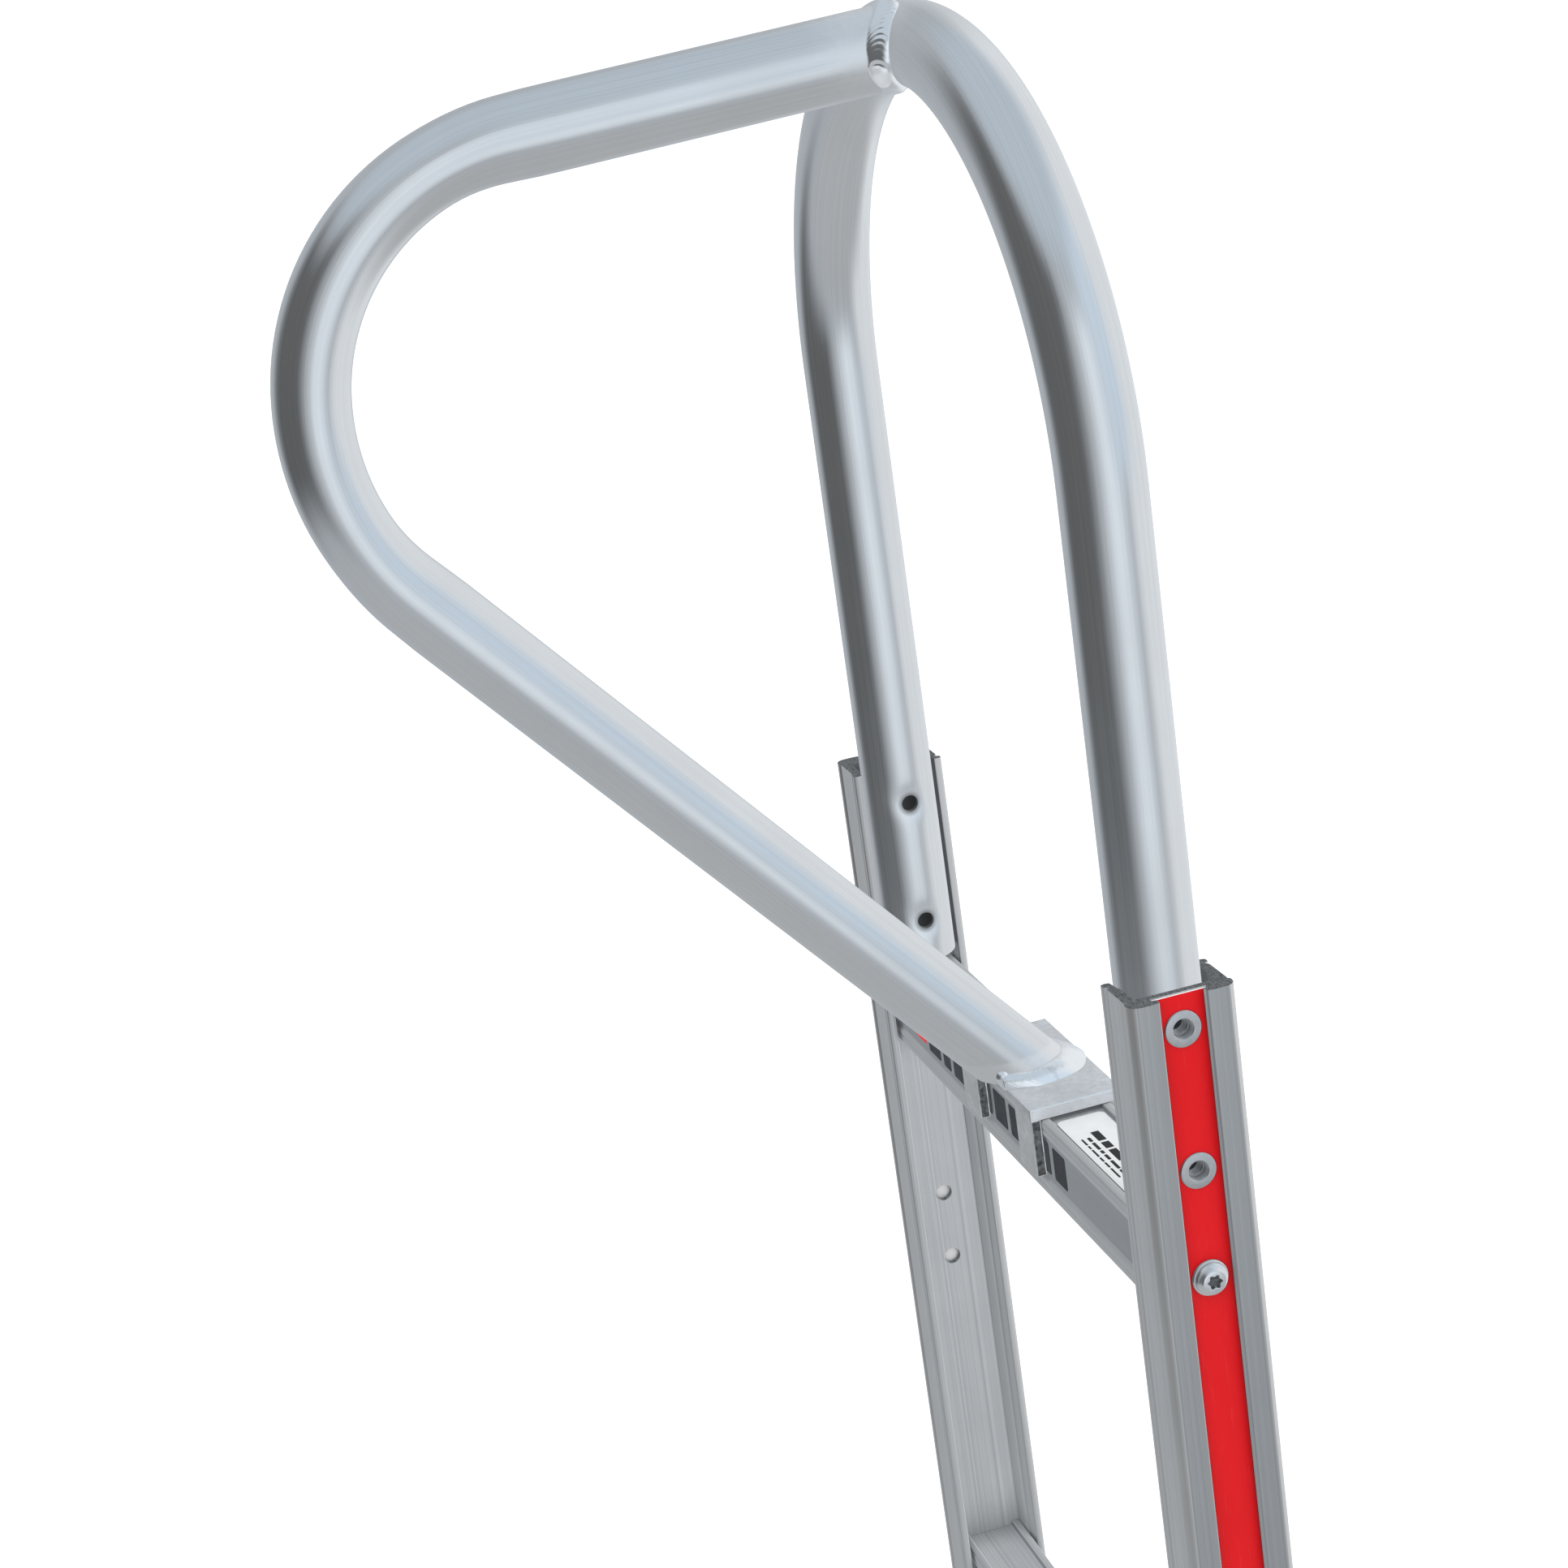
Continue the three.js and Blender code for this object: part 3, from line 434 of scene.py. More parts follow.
class Look(Wiring):
    """A material."""

    def __init__(self, name, metallic=0.0):
        self.material = bpy.data.materials.new(name)
        self.material.use_nodes = True
        super().__init__(self.material.node_tree)
        self.shader = self.tree.nodes["Principled BSDF"]
        self.shader.inputs["Metallic"].default_value = metallic

    def place(self, *scale):
        """The place on the piece, in its own space, scaled along each axis."""
        where = self.add("TexCoord", {}).outputs["Object"]
        return self.add("Mapping", {"Vector": where, "Scale": scale}).outputs["Vector"]

    def flow(self, *scale):
        """The place in the tube, scaled across and along it."""
        where = self.add("Attribute", {}, attribute_name="flow").outputs["Vector"]
        return self.add("Mapping", {"Vector": where, "Scale": scale}).outputs["Vector"]

    def marked(self, name):
        return self.add("Attribute", {}, attribute_name=name).outputs["Fac"]

    def noise(self, vector, detail=3.0, roughness=0.55):
        inputs = {"Vector": vector, "Scale": 1.0, "Detail": detail, "Roughness": roughness}
        return self.add("TexNoise", inputs).outputs["Fac"]

    def spread(self, value, low, high, start=0.3, end=0.7):
        """Maps a value between start and end to low and high, and holds it there outside."""
        inputs = {
            "Value": value,
            "From Min": start,
            "From Max": end,
            "To Min": low,
            "To Max": high,
        }
        return self.add("MapRange", inputs).outputs["Result"]

    def near(self, point, inner, outer):
        """1 within inner of a point of the truck, falling to 0 at outer."""
        where = self.add("TexCoord", {}).outputs["Object"]
        inputs = {0: where, 1: in_frame(point)}
        distance = self.add("VectorMath", inputs, operation="DISTANCE").outputs["Value"]
        return self.spread(distance, 1.0, 0.0, inner * MM, outer * MM)

    def facing(self, axis):
        """1 on faces that look along an axis, either way, and 0 on the others."""
        normal = self.add("TexCoord", {}).outputs["Normal"]
        part = self.add("SeparateXYZ", {0: normal}).outputs[axis]
        size = self.add("Math", {0: part}, operation="ABSOLUTE").outputs[0]
        return self.spread(size, 0.0, 1.0, 0.9, 0.97)

    def with_painted_shade(self, colour, reach):
        """The colour, darkened towards a painted shade colour by ambient occlusion in corners and
        bores that are narrower than a reach.
        """
        node = self.add("AmbientOcclusion", {"Distance": reach * MM}, samples=8)
        return self.mix(self.spread(node.outputs["AO"], 0.9, 0.0, 0.1, 0.6), colour, PAINTED_SHADE_COLOUR)

    def finish(self, colour, roughness, height=None, depth=0.0):
        """Wires the shader. The height is raised or sunk by a depth in millimetres."""
        self.put(self.shader.inputs["Base Color"], colour)
        self.put(self.shader.inputs["Roughness"], roughness)
        if height is not None:
            bump = self.add("Bump", {"Height": height, "Distance": depth * MM, "Strength": 1.0})
            self.put(self.shader.inputs["Normal"], bump.outputs["Normal"])
        return self.material


def grey(value, warm=0.0):
    """A grey that leans to blue, or to yellow where warm is positive."""
    return (value * (0.99 + warm), value, value * (1.01 - warm), 1.0)


def tube_look(foot_y):
    """Drawn tube: long draw lines that follow the bends, a pale matte band by the welds, a painted
    highlight round the dimpled tool holes, and a rough inside painted dark as shade."""
    look = Look("drawn_tube", metallic=1.0)
    lines = look.noise(look.flow(1500, 1500, 5), 4.0)
    fine = look.noise(look.flow(5200, 5200, 20), 2.0)
    cloud = look.noise(look.place(24, 24, 24), 3.0)
    ragged = look.spread(look.noise(look.place(260, 260, 260)), -0.25, 0.25)
    at_crown = look.near(CROWN_WELD, 19, 32)
    height = look.add("SeparateXYZ", {0: look.place(1, 1, 1)}).outputs["Z"]
    height = look.sum(height, ragged, 2.5 * MM)
    at_foot = look.spread(height, 1.0, 0.0, (SADDLE_TOP + 10) * MM, (SADDLE_TOP + 11.5) * MM)
    at_foot = look.times(at_foot, look.near((0, foot_y, SADDLE_TOP), 45, 50))
    heat = look.add("Math", {0: at_crown, 1: at_foot}, operation="MAXIMUM").outputs[0]
    heat = look.times(heat, look.sum(0.8, ragged))
    reach = look.add("VectorMath", {0: look.flow(1, 1, 0)}, operation="LENGTH").outputs["Value"]
    outer = TUBE_R * MM
    inside = look.spread(reach, 1.0, 0.0, outer - TUBE_WALL * MM / 2, outer - TUBE_WALL * MM / 4)
    colour = look.mix(look.spread(lines, 0.0, 1.0), grey(0.76), grey(0.84))
    colour = look.mix(look.spread(cloud, 0.0, 0.3), colour, grey(0.72, 0.02))
    folded = look.add("VectorMath", {0: look.place(1, 1, 1)}, operation="ABSOLUTE").outputs[0]
    # Painted highlight: a pale, rougher ring round each dimpled tool hole.
    pressed = 0.0
    for z in SLEEVE_ZS:
        hole = Vector(abs(part) for part in in_frame((LOOP_R - TUBE_R, 0, z)))
        inputs = {0: folded, 1: hole}
        off = look.add("VectorMath", inputs, operation="DISTANCE").outputs["Value"]
        ring = look.spread(off, 0.75, 0.0, 1.1 * TOOL_HOLE_R * MM, 1.5 * DIMPLE_REACH * MM)
        pressed = look.sum(pressed, ring)
    colour = look.mix(heat, colour, grey(0.88, 0.015))
    # The painted highlight round the tool holes.
    colour = look.mix(pressed, colour, grey(0.97))
    # Painted shade: the tube's inside is painted dark.
    colour = look.mix(inside, colour, look.with_painted_shade(grey(0.2, 0.03), 32))
    roughness = look.sum(look.spread(cloud, 0.14, 0.2), look.spread(lines, -0.03, 0.04))
    roughness = look.sum(look.sum(roughness, heat, 0.25), pressed, 0.22)
    roughness = look.sum(roughness, inside, 0.35)
    return look.finish(colour, roughness, look.sum(lines, fine, 0.5), 0.005)


def extruded_look(name, scale_lines, scale_broad, cut_axis):
    """Extruded bar: die lines along it, cloudy etching, rough dark sawn ends, and painted shade on
    faces marked recess and in corners.
    """
    look = Look(name, metallic=1.0)
    lines = look.noise(look.place(*scale_lines), 4.0, 0.6)
    broad = look.noise(look.place(*scale_broad), 2.0)
    cloud = look.noise(look.place(45, 45, 30), 4.0)
    grit = look.noise(look.place(1500, 1500, 1500), 2.0)
    saw = look.noise(look.place(420, 1400, 420), 4.0, 0.7)
    cut = look.facing(cut_axis)
    colour = look.mix(look.spread(lines, 0.0, 1.0), grey(0.56, 0.03), grey(0.86, 0.03))
    colour = look.mix(look.spread(broad, 0.0, 0.55), colour, grey(0.74, 0.045))
    colour = look.mix(look.spread(cloud, 0.0, 0.3), colour, grey(0.58, 0.02))
    # Painted shade: faces marked recess, the members' recessed faces and the rails' outermost lip
    # faces, are painted darker; corners are darkened too.
    colour = look.mix(look.times(look.marked("recess"), 0.6), colour, grey(0.34, -0.02))
    colour = look.with_painted_shade(colour, 28)
    sawn = look.mix(look.spread(saw, 0.0, 1.0), grey(0.07, 0.01), grey(0.36, 0.02))
    colour = look.mix(cut, colour, sawn)
    roughness = look.sum(look.spread(broad, 0.27, 0.36), look.spread(lines, -0.03, 0.06))
    roughness = look.sum(roughness, cut, 0.2)
    height = look.sum(look.sum(lines, grit, 0.12), look.times(cut, saw), 6.0)
    return look.finish(colour, roughness, height, 0.012)


def blasted_look(name, dark, light, grain, depth):
    """Cast or blasted aluminium: a fine rough grain, paler rubbed edges and dark sawn faces."""
    look = Look(name, metallic=1.0)
    grain_height = look.noise(look.place(grain, grain, grain), 4.0, 0.65)
    spots = look.noise(look.place(grain * 0.3, grain * 0.3, grain * 0.3), 2.0)
    stain = look.noise(look.place(60, 60, 60), 4.0)
    rub = look.spread(look.noise(look.place(300, 300, 300)), 0.3, 1.0)
    edge = look.times(look.marked("edge"), rub)
    colour = look.mix(look.spread(spots, 0.0, 1.0), grey(dark, 0.02), grey(light, 0.01))
    colour = look.mix(look.spread(stain, 0.0, 0.4), colour, grey(dark * 0.8, 0.03))
    sawn = look.mix(look.spread(spots, 0.0, 1.0), grey(0.08, 0.01), grey(0.3, 0.02))
    colour = look.mix(look.marked("sawn"), colour, sawn)
    colour = look.mix(edge, colour, grey(0.95))
    roughness = look.sum(look.spread(stain, 0.5, 0.62), edge, -0.22)
    return look.finish(colour, roughness, grain_height, depth)


def weld_look():
    """Bright weld metal, with smut here and there and pale, matt last puddles."""
    look = Look("weld_metal", metallic=1.0)
    smut = look.noise(look.place(150, 150, 150), 4.0, 0.6)
    fine = look.noise(look.place(900, 900, 900), 2.0)
    cloud = look.noise(look.place(70, 70, 70), 2.0)
    puddle = look.times(look.marked("puddle"), look.spread(cloud, 0.5, 0.9, 0.3, 0.7))
    colour = look.mix(look.spread(smut, 0.0, 0.6, 0.58, 0.75), grey(0.95), grey(0.5, 0.03))
    colour = look.mix(puddle, colour, grey(0.8, -0.03))
    roughness = look.sum(look.spread(smut, 0.13, 0.3, 0.45, 0.75), puddle, 0.2)
    look.put(look.shader.inputs["Metallic"], look.sum(1.0, puddle, -0.6))
    return look.finish(colour, roughness, fine, 0.01)


def plated_look(name, tone, gloss, grain):
    """Zinc-plated or bright steel: a soft mottle, fine machining lines, and painted shade in
    sockets and corners.
    """
    look = Look(name, metallic=1.0)
    mottle = look.noise(look.place(grain, grain, grain), 3.0)
    lines = look.noise(look.place(500, 500, 5200), 3.0)
    colour = look.mix(look.spread(mottle, 0.0, 1.0), grey(tone), grey(tone * 1.15, 0.01))
    colour = look.mix(look.spread(lines, 0.0, 0.35), colour, grey(tone * 0.75))
    # Painted shade: screw sockets are painted dark, and corners darkened.
    colour = look.with_painted_shade(look.mix(look.marked("socket"), colour, grey(tone * 0.2)), 24)
    roughness = look.sum(look.spread(mottle, gloss, gloss + 0.1), look.spread(lines, -0.03, 0.05))
    return look.finish(colour, roughness, look.sum(lines, mottle, 0.6), 0.008)


RED = (0.60, 0.003, 0.007, 1.0)
DEEP_RED = (0.54, 0.002, 0.005, 1.0)
CORE_WHITE = (0.92, 0.92, 0.93, 1.0)


def strip_look():
    """Plastic strip: red on its outer face, white in its core and on its back, and painted shade in
    its corners.
    """
    look = Look("red_strip", metallic=0.0)
    cloud = look.noise(look.place(30, 30, 9), 3.0)
    grain = look.noise(look.place(2600, 2600, 900), 3.0)
    scuff = look.noise(look.place(900, 900, 40), 4.0, 0.7)
    red = look.mix(look.spread(cloud, 0.0, 1.0), DEEP_RED, RED)
    red = look.mix(look.spread(scuff, 0.0, 0.14, 0.6, 0.8), red, (0.8, 0.2, 0.2, 1.0))
    white = look.mix(look.spread(cloud, 0.0, 0.5), CORE_WHITE, (0.84, 0.84, 0.85, 1.0))
    # Painted shade in the strip's corners and along its edges.
    colour = look.with_painted_shade(look.mix(look.marked("coloured"), white, red), 3)
    roughness = look.sum(look.spread(cloud, 0.36, 0.42), look.spread(scuff, 0.0, 0.12, 0.55, 0.8))
    look.shader.inputs["Specular IOR Level"].default_value = 0.16
    return look.finish(colour, roughness, grain, 0.006)


def printed_look(name, ground, ink, gloss):
    """A smooth sheet of one colour, with another where it is marked, and painted shade in corners.
    """
    look = Look(name, metallic=0.0)
    cloud = look.noise(look.place(120, 120, 120), 4.0)
    grain = look.noise(look.place(3200, 3200, 3200), 2.0)
    worn = look.spread(look.noise(look.place(700, 700, 700), 4.0, 0.7), 0.0, 0.3, 0.6, 0.75)
    shadow = tuple(0.86 * part for part in ground[:3]) + (1.0,)
    sheet = look.mix(look.spread(cloud, 0.0, 0.5), ground, shadow)
    print_colour = look.mix(worn, ink, tuple(0.9 * a + 0.1 for a in ink[:3]) + (1.0,))
    # Painted shade in corners, where the sheet meets other pieces.
    colour = look.with_painted_shade(look.mix(look.marked("coloured"), sheet, print_colour), 5)
    roughness = look.sum(look.spread(cloud, gloss, gloss + 0.1), worn, 0.3)
    look.shader.inputs["Specular IOR Level"].default_value = 0.1
    return look.finish(colour, roughness, grain, 0.004)


def rubber_look(name, tone, dusty):
    """Black rubber with a pale bloom, dustier on the tread."""
    look = Look(name, metallic=0.0)
    bloom = look.noise(look.place(90, 90, 90), 5.0, 0.6)
    grain = look.noise(look.place(1500, 1500, 1500), 3.0)
    black = (tone, tone, tone * 1.03, 1.0)
    dust = (tone + dusty, tone + dusty * 0.96, tone + dusty * 0.9, 1.0)
    colour = look.mix(look.spread(bloom, 0.0, 0.6), black, dust)
    colour = look.mix(look.times(look.marked("tread"), 0.55), colour, dust)
    roughness = look.spread(bloom, 0.62, 0.8)
    return look.finish(colour, roughness, grain, 0.05)


# Handle tubes -----------------------------------------------------------------------------------

SECTION = 84  # points round a tube
SPRING_Z = CROWN_Z - LOOP_R
LEG = SPRING_Z - LOOP_FOOT
LOOP_LENGTH = 2 * LEG + math.pi * LOOP_R


def loop_at(along):
    """Centre and outward direction at a distance along the loop, from the foot at +x."""
    if along < LEG:
        return Vector((LOOP_R, 0, LOOP_FOOT + along)), Vector((1, 0, 0))
    if along > LOOP_LENGTH - LEG:
        return Vector((-LOOP_R, 0, LOOP_FOOT + LOOP_LENGTH - along)), Vector((-1, 0, 0))
    angle = (along - LEG) / LOOP_R
    out = Vector((math.cos(angle), 0, math.sin(angle)))
    return Vector((0, 0, SPRING_Z)) + out * LOOP_R, out


def loop_flow(x, y, z):
    if z < SPRING_Z:
        along = z - LOOP_FOOT if x > 0 else LOOP_LENGTH - (z - LOOP_FOOT)
        return (abs(x) - LOOP_R, y, along)
    angle = math.atan2(z - SPRING_Z, x)
    return (math.hypot(x, z - SPRING_Z) - LOOP_R, y, LEG + angle * LOOP_R)


def dimple(z, angle):
    """How far the wall is pressed in round the tool holes, which face inboard."""
    across = TUBE_R * (angle - math.pi)
    return sum(
        DIMPLE_DEPTH * math.exp(-((z - hole) ** 2 + across**2) / DIMPLE_REACH**2)
        for hole in SLEEVE_ZS
    )


def spaced(start, end, step):
    count = max(1, round((end - start) / step))
    return [start + (end - start) * i / count for i in range(count + 1)]


def loop_tube():
    """The loop: fine rings where the legs are dimpled, and coarser ones elsewhere."""
    dimpled = RAIL_TOP + 8 - LOOP_FOOT
    leg = spaced(0, dimpled, 1.4)[:-1] + spaced(dimpled, LEG, 12)[:-1]
    alongs = leg + spaced(LEG, LOOP_LENGTH - LEG, 5)
    alongs += [LOOP_LENGTH - along for along in reversed(leg)]
    side = Vector((0, 1, 0))

    def ring(along, radius):
        centre, out = loop_at(along)
        points = []
        for k in range(SECTION):
            angle = 2 * math.pi * k / SECTION
            on_leg = along < LEG or along > LOOP_LENGTH - LEG
            reach = radius - (dimple(centre.z, angle) if on_leg else 0)
            points.append(centre + out * math.cos(angle) * reach + side * math.sin(angle) * reach)
        return points

    rings = [ring(a, TUBE_R) for a in alongs]
    rings += [ring(a, TUBE_R - TUBE_WALL) for a in reversed(alongs)]
    obj = new_object("loop_tube", *skin(rings, closed=True), sharp=50)
    centres = [(0, 0, z) for z in SLEEVE_ZS]
    cutters = []
    for sign in (1, -1):
        inboard = sorted((sign * (LOOP_R - 2 * TUBE_R), sign * LOOP_R))
        outboard = sorted((sign * LOOP_R, sign * (LOOP_R + 2 * TUBE_R)))
        cutters.append(pins(about_x, centres, TOOL_HOLE_R, *inboard))
        cutters.append(pins(about_x, centres, SLEEVE_HOLE_R, *outboard))
    combined(obj, [merged(cutters)], sharp=50)
    store_flow(obj, loop_flow)
    return obj


def brace_path():
    """(distance, centre, heading below the horizontal) along the brace, and its foot's y."""
    path = [(18.0, 18.0 * math.cos(GRIP_FALL), CROWN_Z - 18.0 * math.sin(GRIP_FALL), GRIP_FALL)]
    y = GRIP_RUN * math.cos(GRIP_FALL)
    z = CROWN_Z - GRIP_RUN * math.sin(GRIP_FALL)
    for along in spaced(30, GRIP_RUN, 10):
        share = along / GRIP_RUN
        path.append((along, y * share, CROWN_Z + (z - CROWN_Z) * share, GRIP_FALL))
    heading = GRIP_FALL
    along = GRIP_RUN
    for radius, turn in GRIP_BENDS:
        steps = round(radius * turn / 4)
        step = turn / steps
        chord = 2 * radius * math.sin(step / 2)
        for _ in range(steps):
            y += chord * math.cos(heading + step / 2)
            z -= chord * math.sin(heading + step / 2)
            heading += step
            along += radius * step
            path.append((along, y, z, heading))
    run = (z - SADDLE_TOP - GAP) / math.sin(heading)
    bend_end = along
    for k in range(1, 25):
        reach = run * k / 24
        path.append(
            (along + reach, y + reach * math.cos(heading), z - reach * math.sin(heading), heading)
        )
    return path, bend_end, y + run * math.cos(heading), heading


def flatten_at(along, bend_end):
    """0 on the straights, rising smoothly to 1 in the bend."""
    ease = 45
    rise = min(max((along - GRIP_RUN + ease / 3) / ease, 0), 1)
    fall = min(max((bend_end + ease / 3 - along) / ease, 0), 1)
    share = min(rise, fall)
    return share * share * (3 - 2 * share)


def on_crown(x, z):
    """How far behind the crown tube's middle its surface is, at a place in its plane."""
    off = math.hypot(x, z - SPRING_Z) - LOOP_R
    return math.sqrt(max((TUBE_R + GAP) ** 2 - off**2, 0))


def grip_tube():
    """The brace: its head fits the crown tube, and its foot is cut level on the saddle."""
    path, bend_end, foot_y, foot_heading = brace_path()

    def ring(station, radius, last):
        along, y, z, heading = station
        ahead = Vector((0, math.cos(heading), -math.sin(heading)))
        up = Vector((0, math.sin(heading), math.cos(heading)))
        flat = flatten_at(along, bend_end)
        high = radius * (1 - GRIP_FLATTEN * flat)
        wide = radius * (1 + 0.35 * GRIP_FLATTEN * flat)
        points = []
        for k in range(SECTION):
            angle = 2 * math.pi * k / SECTION
            point = Vector((wide * math.cos(angle), y, z)) + up * high * math.sin(angle)
            if last:
                point += ahead * (point.z - SADDLE_TOP - GAP) / math.sin(heading)
            points.append(point)
        return points

    def head(radius):
        points = []
        for k in range(SECTION):
            angle = 2 * math.pi * k / SECTION
            x = radius * math.cos(angle)
            z = CROWN_Z + radius * math.sin(angle) - 8 * math.sin(GRIP_FALL)
            points.append(Vector((x, on_crown(x, z), z)))
        return points

    def rings(radius):
        return [head(radius)] + [ring(s, radius, s is path[-1]) for s in path]

    alongs = [8.0] + [station[0] for station in path]
    outer = rings(TUBE_R)
    inner = rings(TUBE_R - TUBE_WALL)
    obj = new_object("grip_tube", *skin(outer + inner[::-1], closed=True), sharp=50)
    places = KDTree(2 * SECTION * len(alongs))
    flows = []
    for radius, group in ((TUBE_R, outer), (TUBE_R - TUBE_WALL, inner)):
        for ring_points, along in zip(group, alongs):
            for k, point in enumerate(ring_points):
                angle = 2 * math.pi * k / SECTION
                places.insert(point, len(flows))
                flows.append((radius * math.cos(angle), radius * math.sin(angle), along))
    places.balance()
    store_flow(obj, lambda x, y, z: flows[places.find((x, y, z))[1]])
    return obj, foot_y, foot_heading


# Welds ------------------------------------------------------------------------------------------

RIPPLE = 2.0  # spacing of the welds' ripples
RIPPLE_LAG = 1.5  # how far a ripple trails at the edges of a bead, in ripples


def wander(angle, seed):
    """A slow, repeatable wander between about -1 and 1 round a joint."""
    broad = 0.5 * math.sin(3 * angle + seed)
    close = 0.3 * math.sin(7 * angle + 2.1 * seed)
    return broad + close + 0.2 * math.sin(13 * angle + seed)


def ripples(along, across, depth):
    """Crescent ripples: sharp creases that trail towards the edges of a bead."""
    phase = along / RIPPLE - RIPPLE_LAG * across * across
    return depth * (abs(math.sin(math.pi * phase)) - 0.5) * (1 - across * across)


def hump(value, centre, width):
    return math.exp(-(((value - centre) / width) ** 2))


def crown_bead():
    """A fillet round the brace's head. On top it lies across both tubes, and at the sides it
    fills the corner between them. Each side was run down from the top to a smooth puddle."""
    around, section = 480, 30
    puddle_at = 2.06  # radians from the top
    puddle_r = 5.2
    inside = TUBE_R - 1.4
    rings = []
    for i in range(around):
        angle = 2 * math.pi * i / around
        from_top = abs((angle - math.pi / 2 + math.pi) % (2 * math.pi) - math.pi)
        side = math.cos(angle) ** 2
        swell = hump(from_top, puddle_at, 0.3)
        toe_r = TUBE_R - 0.3 + 6.6 * side + 0.3 * wander(angle, 2.3) * side
        toe_z = CROWN_Z + toe_r * math.sin(angle)
        toe_y = max(on_crown(toe_r * math.cos(angle), toe_z) - 0.4, 3.4)
        head_y = 13.4 + 9.2 * side + 0.4 * wander(angle, 1.0) + 0.8 * swell
        toe = Vector((toe_r, toe_y))
        head = Vector((TUBE_R - 0.2, head_y))
        out = Vector((head.y - toe.y, toe.x - head.x)).normalized()
        bulge = 1.8 - 0.6 * side + 0.7 * swell + 0.15 * wander(angle, 4.1)
        depth = 0.5 * hump(from_top, 0.8, 0.62)
        ring = []
        for k in range(section + 1):
            share = k / section
            across = 2 * share - 1
            from_puddle = math.hypot(
                TUBE_R * (from_top - puddle_at), 0.5 * (head - toe).length * across
            )
            above = min(max(puddle_at - from_top, 0) / 0.1, 1)
            surface = bulge * (1 - across**4) + ripples(1.15 * TUBE_R * from_top, across, depth)
            surface += 0.9 * hump(from_puddle, 0, 4.4) * (1 - across * across)
            surface -= 0.9 * above * hump(from_puddle, 5.4, 0.9) * (1 - across * across)
            ring.append(toe.lerp(head, share) + out * surface)
        ring += [Vector((inside, head_y)), Vector((inside, toe_y - 1))]
        fall = math.tan(GRIP_FALL)
        rings.append(
            [(r * math.cos(angle), y, CROWN_Z + r * math.sin(angle) - y * fall) for r, y in ring]
        )
    obj = new_object("crown_bead", *skin(rings, closed=True), sharp=60)
    puddles = []
    for sign in (1, -1):
        angle = math.pi / 2 + sign * puddle_at
        reach = TUBE_R + 4
        z = CROWN_Z + reach * math.sin(angle)
        puddles.append(in_frame((sign * -reach * math.sin(puddle_at), 20, z)))
    mark(obj, "puddle", lambda p: min((p.center - at).length for at in puddles) < puddle_r * MM)
    return obj


def ball(centre, radius):
    profile = [(radius * math.sin(t), -radius * math.cos(t)) for t in spaced(0, math.pi, 0.16)]
    return turned("ball", profile, about_z, centre, 48, sharp=180)


def foot_bead(foot_y, heading):
    """A smooth, rounded roll of weld round the brace's foot, with a broad last puddle at the
    front corners and a small ball at each end."""
    lean = -1 / math.tan(heading)
    half_y = TUBE_R / math.sin(heading)
    rear = SADDLE_Y + 1.4
    leg = 5.4
    around, section = 480, 24
    rings = []
    for i in range(around):
        angle = 2 * math.pi * i / around
        ahead = math.atan2(-math.sin(angle), abs(math.cos(angle)))
        puddle = hump(ahead, 0.75, 0.3)
        reach = leg + 0.9 * puddle + 0.25 * wander(angle, 5.2)
        height = leg + 0.4 * wander(angle, 0.7) + 0.4 * puddle
        ripple_depth = 0.12 * (1 - puddle) * hump(ahead, 0.1, 0.7)
        ring = []
        for k in range(section + 1):
            share = k / section
            across = 2 * share - 1
            swell = 1.5 * math.sin(math.pi * share) ** 0.8
            swell += ripples(1.2 * TUBE_R * ahead, across, ripple_depth)
            tilt = math.atan2(reach, height)
            out = reach * (1 - share) + swell * math.cos(tilt)
            up = height * share + swell * math.sin(tilt)
            ring.append((out, up))
        ring += [(-1.2, height), (-1.2, 0)]
        placed = []
        for out, up in ring:
            x = (TUBE_R + out) * math.cos(angle)
            y = foot_y + lean * up + (half_y + out) * math.sin(angle)
            placed.append((x, min(y, rear), SADDLE_TOP + GAP / 2 + up))
        rings.append(placed)
    pieces = [new_object("foot_bead", *skin(rings, closed=True), sharp=60)]
    for sign in (1, -1):
        pieces.append(ball((sign * 13.5, SADDLE_Y + 0.4, SADDLE_TOP + 4.6), 2.8))
    return merged(pieces)


# Saddle, cross-members, label -------------------------------------------------------------------

MEMBER_HEIGHT = 34.3
MEMBER_HALF = 15.2
MEMBER_TOP = LEVEL_ZS["top"] + MEMBER_HEIGHT / 2
SADDLE_LEG_IN = 23.0


def saddle():
    """A plate over the top member with two legs down each side of it."""
    plate_bottom = MEMBER_TOP + GAP
    leg_in = MEMBER_HALF + GAP
    bottom = SADDLE_LOW.z / MM
    low = (-SADDLE_X, -SADDLE_Y, plate_bottom)
    body = block("saddle_body", low, (SADDLE_X, SADDLE_Y, SADDLE_TOP))
    legs = []
    for sx in (1, -1):
        for sy in (1, -1):
            xs = sorted((sx * SADDLE_LEG_IN, sx * SADDLE_X))
            ys = sorted((sy * leg_in, sy * SADDLE_Y))
            legs.append(block("leg", (xs[0], ys[0], bottom), (xs[1], ys[1], SADDLE_TOP)))
    combined(body, legs, "UNION")
    bevelled(body, 0.8, 3)
    mark_edges(body, 0.6)
    below = (plate_bottom - 0.5) * MM
    mark(body, "sawn", lambda p: abs(p.normal.x) > 0.9 and p.center.z < below)
    return body


